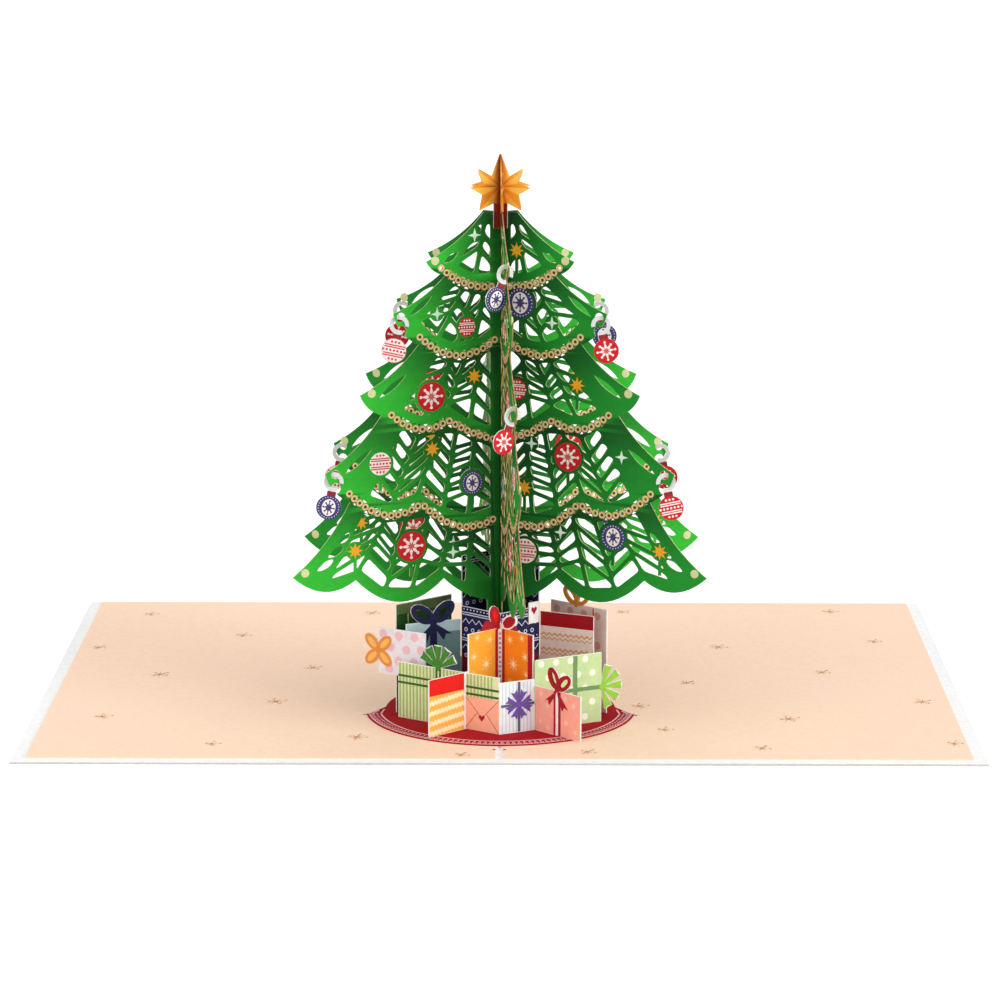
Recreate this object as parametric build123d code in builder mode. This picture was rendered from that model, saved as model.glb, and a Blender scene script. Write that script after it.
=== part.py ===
from build123d import *

import os
from math import cos, hypot, radians, sin

# Pop-up greeting card opened flat, so that a slotted paper fir tree stands up from its fold.
# Millimetres. The origin is on the underside of the card, at the middle of its fold.
# The fold runs along Y, the front of the card faces -Y and +Z is up.

# Card: an outer cover folded in the middle, with one liner glued on each leaf.
open_width = 254.0
card_depth = 178.0
cover_thickness = 0.5
crease_width = 0.6
crease_depth = 0.15
liner_thickness = 0.3
liner_margin = 3.5
liner_back_margin = 1.0
liner_gap = 0.3
notch_width = 2.2
notch_length = 12.0

# Every standing piece is cut from one stock and slides together with one clearance.
stock = 0.3
fit_gap = 0.1
overrun = 5.0

# Tree skirt: a round mat on the fold, wider at the front where it carries a lace edge.
skirt_radius = 36.7
skirt_back_radius = 31.4
skirt_thickness = 0.3
lace_end_share = -0.147
slit_length = 2.8
slit_width = 0.6
tree_from_front = 52.0

# Tree: three full-width sheets halved together on one upright axis.
branch_reach = 60.3
tree_height = 136.6
trunk_half_width = 4.0
sheet_angles = {"left_front": 25.0, "right_front": 155.0, "front": 96.5}
sweep_sag_share = 0.06
underside_sag_share = 0.12
star_seat_half_width = 2.2
star_seat_depth = 4.6

# Cut pattern of the branches, which keeps its share of the tree.
garland_width = 0.0161 * tree_height
branch_band = 0.0176 * tree_height
bottom_band = 0.0249 * tree_height
bar_width = 0.0088 * tree_height
rib_width = 0.0249 * branch_reach
window_slant = 0.75

# Hooks of the hanging ornaments and the holes they pass through.
hook_hole_radius = 1.25
hook_bay_radius = 1.5
hook_bay_drop = 3.75
hook_outer_radius = 2.6
hook_inner_radius = 1.5
ornament_radius = 3.3
ornament_drop = 7.0
cap_width = 2.4
cap_height = 1.2

# Star on the tip of the tree.
star_reach = 8.7
star_height = 15.2
star_tongue_half_width = 2.0
star_tongue_length = 4.5

# Pot: a strip of card folded into a diamond round the trunk, lower in front.
pot_half_width = 10.4
pot_half_depth = 9.0
pot_front_height = 28.9
pot_back_height = 42.9
tag_width = 3.6
tag_height = 4.4

# Presents: upright strips of card round the pot, with their bows cut in one with them.
striped_height = 15.5
pale_height = 14.1
dotted_height = 19.2
crossing_height = 7.0
orange_height = 25.9
slab_height = 15.7
coral_height = 12.3
dark_green_height = 30.1
polka_height = 28.8
back_wall_height = 12.0
blue_height = 25.4
chevron_height = 27.7
lilac_bottom = 10.9
lilac_top = 23.7
bow_loop_length = 5.2
bow_loop_width = 3.2
bow_ribbon = 0.9
bow_knot = 0.9
fan_radius = 6.2
fan_blade_width = 2.6
fan_hub_radius = 1.2

# Number of straight cuts that make a small round edge.
round_sides = 20
small_round_sides = 12

# Levels and the axis of the tree, worked out from the sizes above.
liner_level = cover_thickness
skirt_level = cover_thickness + liner_thickness
floor_level = skirt_level + skirt_thickness
axis_y = tree_from_front - card_depth / 2
leaf_width = (open_width - liner_gap) / 2 - liner_margin
narrowest_angle = radians(50.0)
slot_width = stock * (1 + cos(narrowest_angle)) / sin(narrowest_angle) + 2 * fit_gap

os.makedirs("parts", exist_ok=True)


def write(piece, name):
    piece.part.label = name
    export_step(piece.part, f"parts/{name}.step")


# Cover: one sheet, scored on its upper side along the fold.
with BuildPart() as cover:
    with BuildSketch():
        Rectangle(open_width, card_depth)
    extrude(amount=cover_thickness)
    with BuildSketch(Plane.XY.offset(cover_thickness)):
        Rectangle(crease_width, card_depth)
    extrude(amount=-crease_depth, mode=Mode.SUBTRACT)
write(cover, "cover_card")

# Liners: one on each leaf, notched at the front of the fold and slit where the skirt tucks in.
slit_x = skirt_radius
slit_y = axis_y + lace_end_share * skirt_radius
for side, name in ((-1, "liner_left"), (1, "liner_right")):
    with BuildPart() as liner:
        liner_depth = card_depth - liner_margin - liner_back_margin
        liner_mid = (liner_margin - liner_back_margin) / 2
        with BuildSketch(Plane.XY.offset(liner_level)):
            with Locations((side * (liner_gap + leaf_width) / 2, liner_mid)):
                Rectangle(leaf_width, liner_depth)
            with Locations((0, liner_margin - card_depth / 2)):
                Rectangle(notch_width, 2 * notch_length, mode=Mode.SUBTRACT)
            with Locations((side * slit_x, slit_y)):
                Rectangle(slit_length, slit_width, mode=Mode.SUBTRACT)
        extrude(amount=liner_thickness)
    write(liner, name)

# Skirt: a disc, with the wider lace edge only in front of the slits.
with BuildPart() as skirt:
    with BuildSketch(Plane.XY.offset(skirt_level)):
        with Locations((0, axis_y)):
            Circle(skirt_radius)
        with Locations((0, slit_y + skirt_radius)):
            Rectangle(3 * skirt_radius, 2 * skirt_radius, mode=Mode.SUBTRACT)
        with Locations((0, axis_y)):
            Circle(skirt_back_radius)
    extrude(amount=skirt_thickness)
write(skirt, "tree_skirt")

# Outline of one half sheet, as shares of the reach and the height of the branches.
crown_share = (0.083, 1.0)
tip_shares = ((0.358, 0.910), (0.516, 0.813), (0.675, 0.658), (0.842, 0.510), (1.0, 0.311))
start_shares = ((0.267, 0.881), (0.396, 0.749), (0.575, 0.616), (0.728, 0.450))

# Hanging curves as shares: reach and height of both ends, and the sag between them.
scallop_shares = (
    (1.0, 0.311, 0.703, 0.294, 0.026),
    (0.703, 0.294, 0.279, 0.280, 0.046),
    (0.279, 0.280, 0.066, 0.228, 0.003),
)
garland_shares = (
    ((0.287, 0.896, 0.018, 0.856, 0.016),),
    ((0.390, 0.764, 0.008, 0.756, 0.038),),
    ((0.527, 0.615, 0.257, 0.596, 0.023), (0.257, 0.596, 0.010, 0.548, 0.006)),
    ((0.730, 0.467, 0.385, 0.435, 0.033), (0.385, 0.435, 0.010, 0.396, 0.034)),
)

# Ribs of each tier as shares of the reach, at the top and at the foot of the tier.
rib_top_shares = (
    (0.040, 0.078, 0.116),
    (0.040, 0.083, 0.133, 0.183, 0.229),
    (0.040, 0.108, 0.176, 0.245, 0.315),
    (0.040, 0.128, 0.216, 0.305, 0.395, 0.485),
    (0.040, 0.145, 0.250, 0.355, 0.460, 0.565, 0.670),
)
rib_foot_shares = (
    (0.040, 0.120, 0.215),
    (0.040, 0.124, 0.212, 0.302, 0.398),
    (0.040, 0.146, 0.257, 0.370, 0.482),
    (0.040, 0.158, 0.280, 0.402, 0.525, 0.645),
    (0.040, 0.165, 0.295, 0.430, 0.560, 0.690, 0.830),
)
window_rows = (2, 2, 3, 3, 3)

# Long cuts beside the tips, as shares: reach and height of the two ends of each.
tip_cut_shares = (
    (0.205, 0.925, 0.290, 0.905),
    (0.330, 0.843, 0.440, 0.806),
    (0.455, 0.692, 0.600, 0.650),
    (0.620, 0.552, 0.750, 0.506),
    (0.760, 0.386, 0.900, 0.318),
)
tip_cut_width = 1.6
hook_shares = {1: (0.297, 0.909), 2: (0.479, 0.805), 3: (0.610, 0.658), 4: (0.794, 0.507)}


def on_sheet(reach_share, height_share):
    return (reach_share * branch_reach, height_share * tree_height)


def hang(swags, reach_share):
    """Height share of a chain of hanging curves at one reach share."""
    for far, far_height, near, near_height, sag in swags:
        if reach_share >= near:
            break
    along = (far - reach_share) / (far - near)
    return far_height + along * (near_height - far_height) - 4 * sag * along * (1 - along)


def along_rib(rib, cut, side):
    """Point on the edge of a rib, a share of the way down it."""
    (top_x, top_y), (foot_x, foot_y) = rib
    return (top_x + cut * (foot_x - top_x) + side * rib_width / 2, top_y + cut * (foot_y - top_y))


def window(left_rib, right_rib, left_cut, right_cut, top_bar, foot_bar):
    """Four-sided opening between two ribs, with half a slanting bar left above and below it."""
    edges = []
    for left_share, right_share, bar in zip(left_cut, right_cut, (-top_bar, foot_bar)):
        left, right = along_rib(left_rib, left_share, 1), along_rib(right_rib, right_share, -1)
        drop = bar * hypot(right[0] - left[0], right[1] - left[1]) / (right[0] - left[0])
        edges.append(((left[0], left[1] + drop), (right[0], right[1] + drop)))
    (top_left, top_right), (foot_left, foot_right) = edges
    return (top_left, top_right, foot_right, foot_left)


def tier_windows(tier):
    """Openings of one tier, slanted in turn so that neighbours make chevrons round each rib."""
    ribs = []
    garland_half = garland_width / 2 / tree_height
    bar_share = bar_width / tree_height
    for top_share, foot_share in zip(rib_top_shares[tier], rib_foot_shares[tier]):
        if tier == 0:
            top_height = crown_share[1] - 3 * bar_share
        else:
            top_height = hang(garland_shares[tier - 1], top_share) - garland_half - bar_share
        if tier < len(garland_shares):
            foot_height = hang(garland_shares[tier], foot_share) + garland_half + branch_band / tree_height
        else:
            foot_height = hang(scallop_shares, foot_share) + bottom_band / tree_height
        ribs.append((on_sheet(top_share, top_height), on_sheet(foot_share, foot_height)))
    shapes = []
    rows = window_rows[tier]
    for column, (left_rib, right_rib) in enumerate(zip(ribs, ribs[1:])):
        drop = left_rib[0][1] - left_rib[1][1]
        left_cuts, right_cuts = [0.0], [0.0]
        for row in range(1, rows):
            level = row / rows
            width = along_rib(right_rib, level, -1)[0] - along_rib(left_rib, level, 1)[0]
            shift = window_slant * width / drop / 2 * (-1 if column % 2 else 1)
            left_cuts.append(level + shift)
            right_cuts.append(level - shift)
        left_cuts.append(1.0)
        right_cuts.append(1.0)
        for row in range(rows):
            top_bar = bar_width / 2 if row else 0
            foot_bar = bar_width / 2 if row < rows - 1 else 0
            left_cut, right_cut = left_cuts[row:row + 2], right_cuts[row:row + 2]
            shapes.append(window(left_rib, right_rib, left_cut, right_cut, top_bar, foot_bar))
    return shapes


# One half of the cut pattern, shared by the three sheets.
with BuildSketch() as half_sheet:
    with BuildLine():
        crown = on_sheet(*crown_share)
        seat_top = (star_seat_half_width, crown[1])
        seat_floor = (star_seat_half_width, tree_height - star_seat_depth)
        Polyline((0, 0), (0, seat_floor[1]), seat_floor, seat_top, crown)
        begin = crown
        for tip_share, start_share in zip(tip_shares, start_shares + (None,)):
            tip = on_sheet(*tip_share)
            sweep = hypot(tip[0] - begin[0], tip[1] - begin[1])
            SagittaArc(begin, tip, -sweep_sag_share * sweep)
            if start_share:
                begin = on_sheet(*start_share)
                under = hypot(tip[0] - begin[0], tip[1] - begin[1])
                SagittaArc(tip, begin, underside_sag_share * under)
        for far, far_height, near, near_height, sag in scallop_shares:
            lowest = on_sheet((far + near) / 2, (far_height + near_height) / 2 - sag)
            ThreePointArc(on_sheet(far, far_height), lowest, on_sheet(near, near_height))
        trunk_top = on_sheet(near, near_height)
        Polyline(trunk_top, (trunk_half_width, trunk_top[1]), (trunk_half_width, 0), (0, 0))
    make_face()
    for tier in range(len(tip_shares)):
        for corners in tier_windows(tier):
            Polygon(*corners, mode=Mode.SUBTRACT)
    for inner, inner_height, outer, outer_height in tip_cut_shares:
        near_end = on_sheet(inner, inner_height)
        far_end = on_sheet(outer, outer_height)
        mid = ((near_end[0] + far_end[0]) / 2, (near_end[1] + far_end[1]) / 2)
        run = (far_end[0] - near_end[0], far_end[1] - near_end[1])
        lift = tip_cut_width / hypot(*run)
        bulge = (mid[0] - lift * run[1] / 2, mid[1] + lift * run[0] / 2)
        hollow = (mid[0] + lift * run[1] / 2, mid[1] - lift * run[0] / 2)
        Polygon(near_end, hollow, far_end, bulge, mode=Mode.SUBTRACT)


def joint_cuts(whole_at, foot, head):
    """Heights between which a sheet is slotted; it stays whole in one third of the joint."""
    third = (head - foot) / 3
    cuts = []
    if whole_at != "foot":
        cuts.append((foot - overrun, foot + third * (2 if whole_at == "head" else 1) + fit_gap))
    if whole_at != "head":
        cuts.append((foot + third * (1 if whole_at == "foot" else 2) - fit_gap, head + overrun))
    return cuts


def cut_joint(whole_at, foot, head):
    for low, high in joint_cuts(whole_at, foot, head):
        with Locations((0, (low + high) / 2)):
            Rectangle(slot_width, high - low, mode=Mode.SUBTRACT)


def upright_plane(angle, level=floor_level):
    """Upright plane through the axis of the tree; its x runs along the given plan angle."""
    along = Vector(cos(radians(angle)), sin(radians(angle)), 0)
    return Plane(origin=(0, axis_y, level), x_dir=along, z_dir=along.cross(Vector(0, 0, 1)))


# Tree sheets: each is slotted over two thirds of the axis, so that the three slide together.
whole_places = {"left_front": "head", "right_front": "middle", "front": "foot"}
hook_tiers = {"left_front": (2, 4), "right_front": (2, 4), "front": (1, 3)}
for name, angle in sheet_angles.items():
    with BuildPart() as sheet:
        with BuildSketch(upright_plane(angle)):
            add(half_sheet.sketch)
            mirror(about=Plane.YZ)
            cut_joint(whole_places[name], 0, tree_height - star_seat_depth)
            for tier in hook_tiers[name]:
                hole_x, hole_y = on_sheet(*hook_shares[tier])
                with Locations((hole_x, hole_y), (-hole_x, hole_y)):
                    RegularPolygon(hook_hole_radius, small_round_sides, mode=Mode.SUBTRACT)
                with Locations((hole_x, hole_y - hook_bay_drop), (-hole_x, hole_y - hook_bay_drop)):
                    RegularPolygon(hook_bay_radius, small_round_sides, mode=Mode.SUBTRACT)
        extrude(amount=stock / 2, both=True)
    write(sheet, f"tree_sheet_{name}")

# Star: three sheets over those of the tree, standing on a tongue in the notch of the crown.
star_point_shares = (
    (0.0, 1.0), (0.30, 0.60), (0.75, 0.72), (0.60, 0.51), (1.0, 0.43), (0.60, 0.30), (0.70, 0.035),
    (0.25, 0.14),
)
with BuildSketch() as half_star:
    rim = [(x * star_reach, y * star_height) for x, y in star_point_shares]
    tongue = [(star_tongue_half_width, rim[-1][1]), (star_tongue_half_width, -star_tongue_length)]
    Polygon(*rim, *tongue, (0, -star_tongue_length))
for name, angle in sheet_angles.items():
    with BuildPart() as star:
        with BuildSketch(upright_plane(angle, floor_level + tree_height)):
            add(half_star.sketch)
            mirror(about=Plane.YZ)
            cut_joint(whole_places[name], -star_tongue_length, star_height)
        extrude(amount=stock / 2, both=True)
    write(star, f"star_sheet_{name}")


def ornament_plane(wing_angle, tier, face_angle, lean):
    """Plane of a hanging ornament: its origin is the middle of the hook hole, +x leads outward."""
    reach, height = on_sheet(*hook_shares[tier])
    hole = (reach * cos(radians(wing_angle)), axis_y + reach * sin(radians(wing_angle)), floor_level + height)
    out = Vector(cos(radians(face_angle)), sin(radians(face_angle)), 0)
    across = out * cos(radians(lean)) + Vector(0, 0, sin(radians(lean)))
    return Plane(origin=hole, x_dir=across, z_dir=out.cross(Vector(0, 0, 1)))


# Hanging ornaments: ball, cap and open hook cut in one, turned in the hole of the branch.
side_lean = 12.0
end_lean = 25.0
end_turn = 60.0
hook_gap_share = 0.9
right_back_wing, left_back_wing, back_wing = sheet_angles.values()
ornaments = {
    "left_front_high": (right_back_wing + 180, 2, 180, side_lean),
    "left_front_low": (right_back_wing + 180, 4, 180, side_lean),
    "right_front_high": (left_back_wing + 180, 2, 0, side_lean),
    "right_front_low": (left_back_wing + 180, 4, 0, side_lean),
    "left_back_high": (left_back_wing, 2, 180, side_lean),
    "left_back_low": (left_back_wing, 4, 180, side_lean),
    "right_back_high": (right_back_wing, 2, 0, side_lean),
    "right_back_low": (right_back_wing, 4, 0, side_lean),
    "front_high": (back_wing + 180, 1, back_wing + 180 - end_turn, end_lean),
    "front_low": (back_wing + 180, 3, back_wing + 180 - end_turn, end_lean),
    "back_high": (back_wing, 1, back_wing - end_turn, end_lean),
    "back_low": (back_wing, 3, back_wing - end_turn, end_lean),
}
hook_middle = (hook_outer_radius + hook_inner_radius) / 2
ball_y = -hook_middle - ornament_drop
cap_y = (ball_y + ornament_radius - hook_middle - hook_outer_radius) / 2
for name, (wing_angle, tier, face_angle, lean) in ornaments.items():
    with BuildPart() as ornament:
        with BuildSketch(ornament_plane(wing_angle, tier, face_angle, lean)):
            with Locations((0, -hook_middle)):
                RegularPolygon(hook_outer_radius, round_sides)
                RegularPolygon(hook_inner_radius, small_round_sides, mode=Mode.SUBTRACT)
            with Locations((-hook_middle, -hook_middle - hook_gap_share * hook_inner_radius)):
                Rectangle(hook_inner_radius, hook_inner_radius, mode=Mode.SUBTRACT)
            with Locations((0, cap_y)):
                Rectangle(cap_width, cap_height)
            with Locations((0, ball_y)):
                RegularPolygon(ornament_radius, round_sides)
        extrude(amount=stock / 2, both=True)
    write(ornament, f"ornament_{name}")

# Pot: four walls folded from one strip; its back walls are slotted for the branches.
with BuildPart() as pot:
    with BuildSketch(Plane.XY.offset(floor_level)):
        half = stock / 2
        for grow, mode in ((half, Mode.ADD), (-half, Mode.SUBTRACT)):
            wide = pot_half_width + grow * hypot(pot_half_width, pot_half_depth) / pot_half_depth
            deep = pot_half_depth + grow * hypot(pot_half_width, pot_half_depth) / pot_half_width
            Polygon((wide, axis_y), (0, axis_y + deep), (-wide, axis_y), (0, axis_y - deep), mode=mode)
    extrude(amount=pot_back_height)
    with BuildSketch(Plane.XY.offset(floor_level + pot_front_height)):
        with Locations((0, axis_y - pot_half_depth)):
            Rectangle(4 * pot_half_width, 2 * pot_half_depth)
        for angle in sheet_angles.values():
            with Locations((0, axis_y)):
                Rectangle(4 * pot_half_width, slot_width, rotation=angle)
    extrude(amount=pot_back_height, mode=Mode.SUBTRACT)
write(pot, "pot")


def plan(x_share, y_share):
    """Plan point round the axis of the tree, as shares of the radius of the skirt."""
    return (x_share * skirt_radius, axis_y + y_share * skirt_radius)


def span(start, end):
    return hypot(end[0] - start[0], end[1] - start[1])


def wall_plane(start, end):
    """Upright plane of a wall: x runs from start to end and y is the height over the skirt."""
    along = Vector(end[0] - start[0], end[1] - start[1], 0).normalized()
    return Plane(origin=(*start, floor_level), x_dir=along, z_dir=along.cross(Vector(0, 0, 1)))


def crossing(first, second):
    """Distances along two walls to the point where they cross, and the slot width it needs."""
    (ax, ay), (bx, by) = first
    (cx, cy), (dx, dy) = second
    turn = (bx - ax) * (dy - cy) - (by - ay) * (dx - cx)
    on_first = ((cx - ax) * (dy - cy) - (cy - ay) * (dx - cx)) / turn
    on_second = ((cx - ax) * (by - ay) - (cy - ay) * (bx - ax)) / turn
    sine = abs(turn) / span(*first) / span(*second)
    cosine = (1 - sine**2) ** 0.5
    return on_first * span(*first), on_second * span(*second), stock * (1 + cosine) / sine + 2 * fit_gap


def rise(start_x, end_x, top, bottom=0.0):
    """Rectangle of a wall between two distances along it."""
    with Locations(((start_x + end_x) / 2, (top + bottom) / 2)):
        Rectangle(end_x - start_x, top - bottom)


def oval(long, wide, angle, mode=Mode.ADD):
    turns = [radians(360 * side / small_round_sides) for side in range(small_round_sides)]
    Polygon(*((long / 2 * cos(turn), wide / 2 * sin(turn)) for turn in turns), rotation=angle, mode=mode)


def bow(x, y, angles, scale=1.0):
    """Cut-out bow: open loops that spread from a knot at the given angles."""
    long, wide = scale * bow_loop_length, scale * bow_loop_width
    for angle in angles:
        middle = (x + long / 2 * cos(radians(angle)), y + long / 2 * sin(radians(angle)))
        with Locations(middle):
            oval(long, wide, angle)
            oval(long - 2 * bow_ribbon, wide - 2 * bow_ribbon, angle, Mode.SUBTRACT)
    with Locations((x, y)):
        RegularPolygon(bow_knot, small_round_sides)


def fan_bow(x, y, angles):
    """Flat fan bow: blades that widen outward from a hub."""
    for angle in angles:
        with Locations((x, y)):
            Polygon(
                (0, fan_hub_radius / 4), (fan_radius, fan_blade_width / 2),
                (fan_radius, -fan_blade_width / 2), (0, -fan_hub_radius / 4), rotation=angle,
            )
    with Locations((x, y)):
        RegularPolygon(fan_hub_radius, small_round_sides)


# Plan corners of the walls, as shares of the radius of the skirt.
front_left, front_fold, front_right = plan(-0.749, -0.232), plan(0, -0.717), plan(0.741, -0.343)
inner_left, inner_fold, inner_right = plan(-0.512, -0.806), plan(0, -0.335), plan(0.586, -0.910)
back_left, back_fold, back_right = plan(-0.771, -0.109), plan(0, 0.553), plan(0.787, -0.120)
blue_inner, blue_toward = plan(-0.297, -0.014), plan(-0.676, -0.185)
chevron_inner, chevron_outer = plan(0.297, -0.014), plan(0.689, -0.191)
lilac_outer, lilac_inner = plan(-0.899, -0.082), plan(-0.545, -0.292)

left_front_cross, left_inner_cross, left_cross_width = crossing(
    (front_left, front_fold), (inner_fold, inner_left)
)
right_front_cross, right_inner_cross, right_cross_width = crossing(
    (front_fold, front_right), (inner_fold, inner_right)
)
pale_share = 0.34
fan_share = 0.40

# Front row: striped present on the left of the fold, pale and dotted presents on its right.
with BuildPart() as front_row:
    with BuildSketch(wall_plane(front_left, front_fold)):
        length = span(front_left, front_fold)
        rise(0, length, striped_height)
        fan_bow(fan_share * length, striped_height, (30, 60, 90, 120, 150))
        with Locations((left_front_cross, crossing_height + fan_radius + striped_height)):
            Rectangle(left_cross_width, 2 * (fan_radius + striped_height), mode=Mode.SUBTRACT)
    extrude(amount=stock / 2, both=True)
    with BuildSketch(wall_plane(front_fold, front_right)):
        length = span(front_fold, front_right)
        rise(0, pale_share * length, pale_height)
        rise(pale_share * length, length, dotted_height)
        fan_bow(length, dotted_height / 2, (-70, -35, 0, 35, 70))
        with Locations((right_front_cross, crossing_height + dotted_height)):
            Rectangle(right_cross_width, 2 * dotted_height, mode=Mode.SUBTRACT)
    extrude(amount=stock / 2, both=True)
write(front_row, "present_row_front")

# Inner row: orange present at the fold, ending in a slab on each side of the front row.
with BuildPart() as inner_row:
    with BuildSketch(wall_plane(inner_fold, inner_left)):
        length = span(inner_fold, inner_left)
        rise(0, left_inner_cross - left_cross_width, orange_height)
        rise(0, length, slab_height)
        bow(bow_knot, orange_height + bow_knot / 2, (70,), 1.2)
        with Locations((left_inner_cross, 0)):
            Rectangle(left_cross_width, 2 * (crossing_height + fit_gap), mode=Mode.SUBTRACT)
    extrude(amount=stock / 2, both=True)
    with BuildSketch(wall_plane(inner_fold, inner_right)):
        length = span(inner_fold, inner_right)
        rise(0, right_inner_cross - right_cross_width, orange_height)
        rise(0, length, coral_height)
        bow(bow_knot, orange_height + bow_knot / 2, (30,), 1.2)
        bow((right_inner_cross + length) / 2, coral_height + bow_knot / 2, (40, 115), 1.2)
        with Locations((right_inner_cross, 0)):
            Rectangle(right_cross_width, 2 * (crossing_height + fit_gap), mode=Mode.SUBTRACT)
    extrude(amount=stock / 2, both=True)
write(inner_row, "present_row_inner")

# Back row: dark green present on the left, polka-dot present on the right, a low wall between.
back_present_share = 0.52
with BuildPart() as back_row:
    with BuildSketch(wall_plane(back_left, back_fold)):
        length = span(back_left, back_fold)
        rise(0, length, back_wall_height)
        rise(0, back_present_share * length, dark_green_height)
    extrude(amount=stock / 2, both=True)
    with BuildSketch(wall_plane(back_fold, back_right)):
        length = span(back_fold, back_right)
        rise(0, length, back_wall_height)
        rise((1 - back_present_share) * length, length, polka_height)
        bow(0.72 * length, polka_height, (45, 135), 1.2)
    extrude(amount=stock / 2, both=True)
write(back_row, "present_row_back")

# Lilac present: held off the ground by the end of the blue present behind it.
with BuildPart() as lilac:
    with BuildSketch(wall_plane(lilac_outer, lilac_inner)):
        length = span(lilac_outer, lilac_inner)
        rise(0, length, lilac_top, lilac_bottom)
        bow(0, (lilac_top + lilac_bottom) / 2, (45, 135, 225, 315), 1.1)
    extrude(amount=stock / 2, both=True)
write(lilac, "present_lilac")

# Blue present: reaches from beside the pot to the back of the lilac one.
blue_reach, _, lilac_seat = crossing((blue_inner, blue_toward), (lilac_outer, lilac_inner))
with BuildPart() as blue:
    with BuildSketch(wall_plane(blue_inner, blue_toward)):
        length = blue_reach - lilac_seat / 2
        rise(0, length, blue_height)
        bow(length / 2, blue_height, (35, 140), 1.5)
    extrude(amount=stock / 2, both=True)
write(blue, "present_blue")

with BuildPart() as chevron:
    with BuildSketch(wall_plane(chevron_inner, chevron_outer)):
        rise(0, span(chevron_inner, chevron_outer), chevron_height)
    extrude(amount=stock / 2, both=True)
write(chevron, "present_chevron")

# Tag: a slip of card against the right front wall of the pot.
with BuildPart() as tag:
    pot_corner, pot_front = (pot_half_width, axis_y), (0, axis_y - pot_half_depth)
    with BuildSketch(wall_plane(pot_front, pot_corner).offset(stock / 2)):
        run = span(pot_front, pot_corner)
        rise(run - tag_width - stock, run - stock, pot_front_height + tag_height / 3, pot_front_height - tag_height)
    extrude(amount=stock)
write(tag, "pot_tag")
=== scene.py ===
from math import atan2, ceil, cos, degrees, hypot, pi, radians, sin, sqrt

import bpy
from mathutils import Matrix, Vector


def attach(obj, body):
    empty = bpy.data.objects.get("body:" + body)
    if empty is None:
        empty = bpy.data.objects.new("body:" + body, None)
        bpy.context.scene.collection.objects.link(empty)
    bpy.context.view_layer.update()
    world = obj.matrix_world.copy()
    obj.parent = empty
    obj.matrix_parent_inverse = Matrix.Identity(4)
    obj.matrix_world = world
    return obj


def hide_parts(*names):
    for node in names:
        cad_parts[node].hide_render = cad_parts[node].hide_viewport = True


# Pop-up card with a slotted paper fir tree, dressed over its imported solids. Flat shapes are
# drawn in millimetres on the plane of their own sheet, and then set into the frame.
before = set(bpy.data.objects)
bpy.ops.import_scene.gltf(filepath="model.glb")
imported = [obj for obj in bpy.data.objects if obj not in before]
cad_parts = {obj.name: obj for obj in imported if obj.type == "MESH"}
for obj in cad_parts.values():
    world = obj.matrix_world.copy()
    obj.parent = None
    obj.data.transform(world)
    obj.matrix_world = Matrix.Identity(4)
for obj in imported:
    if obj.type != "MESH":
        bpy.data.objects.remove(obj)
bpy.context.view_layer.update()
scene = bpy.context.scene

# Camera where the photograph was taken from, just above the card and a metre in front of it.
camera_spot = (0.008, -0.9878, 0.2597)
camera_tilt, camera_turn = 11.9, 0.49
camera_data = bpy.data.cameras.new("camera")
camera_data.lens = 129.6
camera_data.sensor_width = 36
camera = bpy.data.objects.new("camera", camera_data)
camera.location = camera_spot
camera.rotation_euler = (radians(90 - camera_tilt), 0, radians(camera_turn))
scene.collection.objects.link(camera)
scene.camera = camera
scene.view_settings.view_transform = "Standard"

# Cover: one sheet of white card, scored and folded along its spine and lying open under all the
# rest. Its front edge carries a thin grey strip of painted shade.
card_width, card_depth, cover_stock = 254.0, 178.0, 0.5
edge_shade_depth, edge_foot = 0.06, 0.02
millimetre = 0.001
fibre_scale, fibre_relief = 700, 0.00005


def linear(colour):
    return [((c / 255 + 0.055) / 1.055) ** 2.4 if c > 10 else c / 255 / 12.92 for c in colour] + [1.0]


def paper(name, colour, deep=None, roughness=0.6, mottle=0.05, grain=0.12):
    """Uncoated printed card, whose fibres shift the colour and raise a faint grain.

    With a deep colour, the mesh attribute called shade runs from deep to full.
    """
    material = bpy.data.materials.new(name)
    material.use_nodes = True
    nodes, links = material.node_tree.nodes, material.node_tree.links
    shader = nodes["Principled BSDF"]
    shader.inputs["Roughness"].default_value = roughness
    shader.inputs["Specular IOR Level"].default_value = 0.2
    place = nodes.new("ShaderNodeTexCoord")
    fibres = nodes.new("ShaderNodeTexNoise")
    fibres.inputs["Scale"].default_value = fibre_scale
    fibres.inputs["Detail"].default_value = 5
    links.new(place.outputs["Object"], fibres.inputs["Vector"])
    tone = nodes.new("ShaderNodeMapRange")
    tone.inputs["From Min"].default_value = 0.3
    tone.inputs["From Max"].default_value = 0.7
    tone.inputs["To Min"].default_value = 1 - mottle
    tone.inputs["To Max"].default_value = 1 + mottle
    links.new(fibres.outputs["Fac"], tone.inputs["Value"])
    tint = nodes.new("ShaderNodeVectorMath")
    tint.operation = "SCALE"
    tint.inputs[0].default_value = linear(colour)[:3]
    if deep:
        share = nodes.new("ShaderNodeAttribute")
        share.attribute_name = "shade"
        blend = nodes.new("ShaderNodeMix")
        blend.data_type = "RGBA"
        blend.inputs["A"].default_value = linear(deep)
        blend.inputs["B"].default_value = linear(colour)
        links.new(share.outputs["Fac"], blend.inputs["Factor"])
        links.new(blend.outputs["Result"], tint.inputs[0])
    links.new(tone.outputs["Result"], tint.inputs["Scale"])
    links.new(tint.outputs["Vector"], shader.inputs["Base Color"])
    bump = nodes.new("ShaderNodeBump")
    bump.inputs["Strength"].default_value = grain
    bump.inputs["Distance"].default_value = fibre_relief
    links.new(fibres.outputs["Fac"], bump.inputs["Height"])
    links.new(bump.outputs["Normal"], shader.inputs["Normal"])
    return material


def dress(node, material):
    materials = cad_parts[node].data.materials
    materials.clear()
    materials.append(material)


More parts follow.
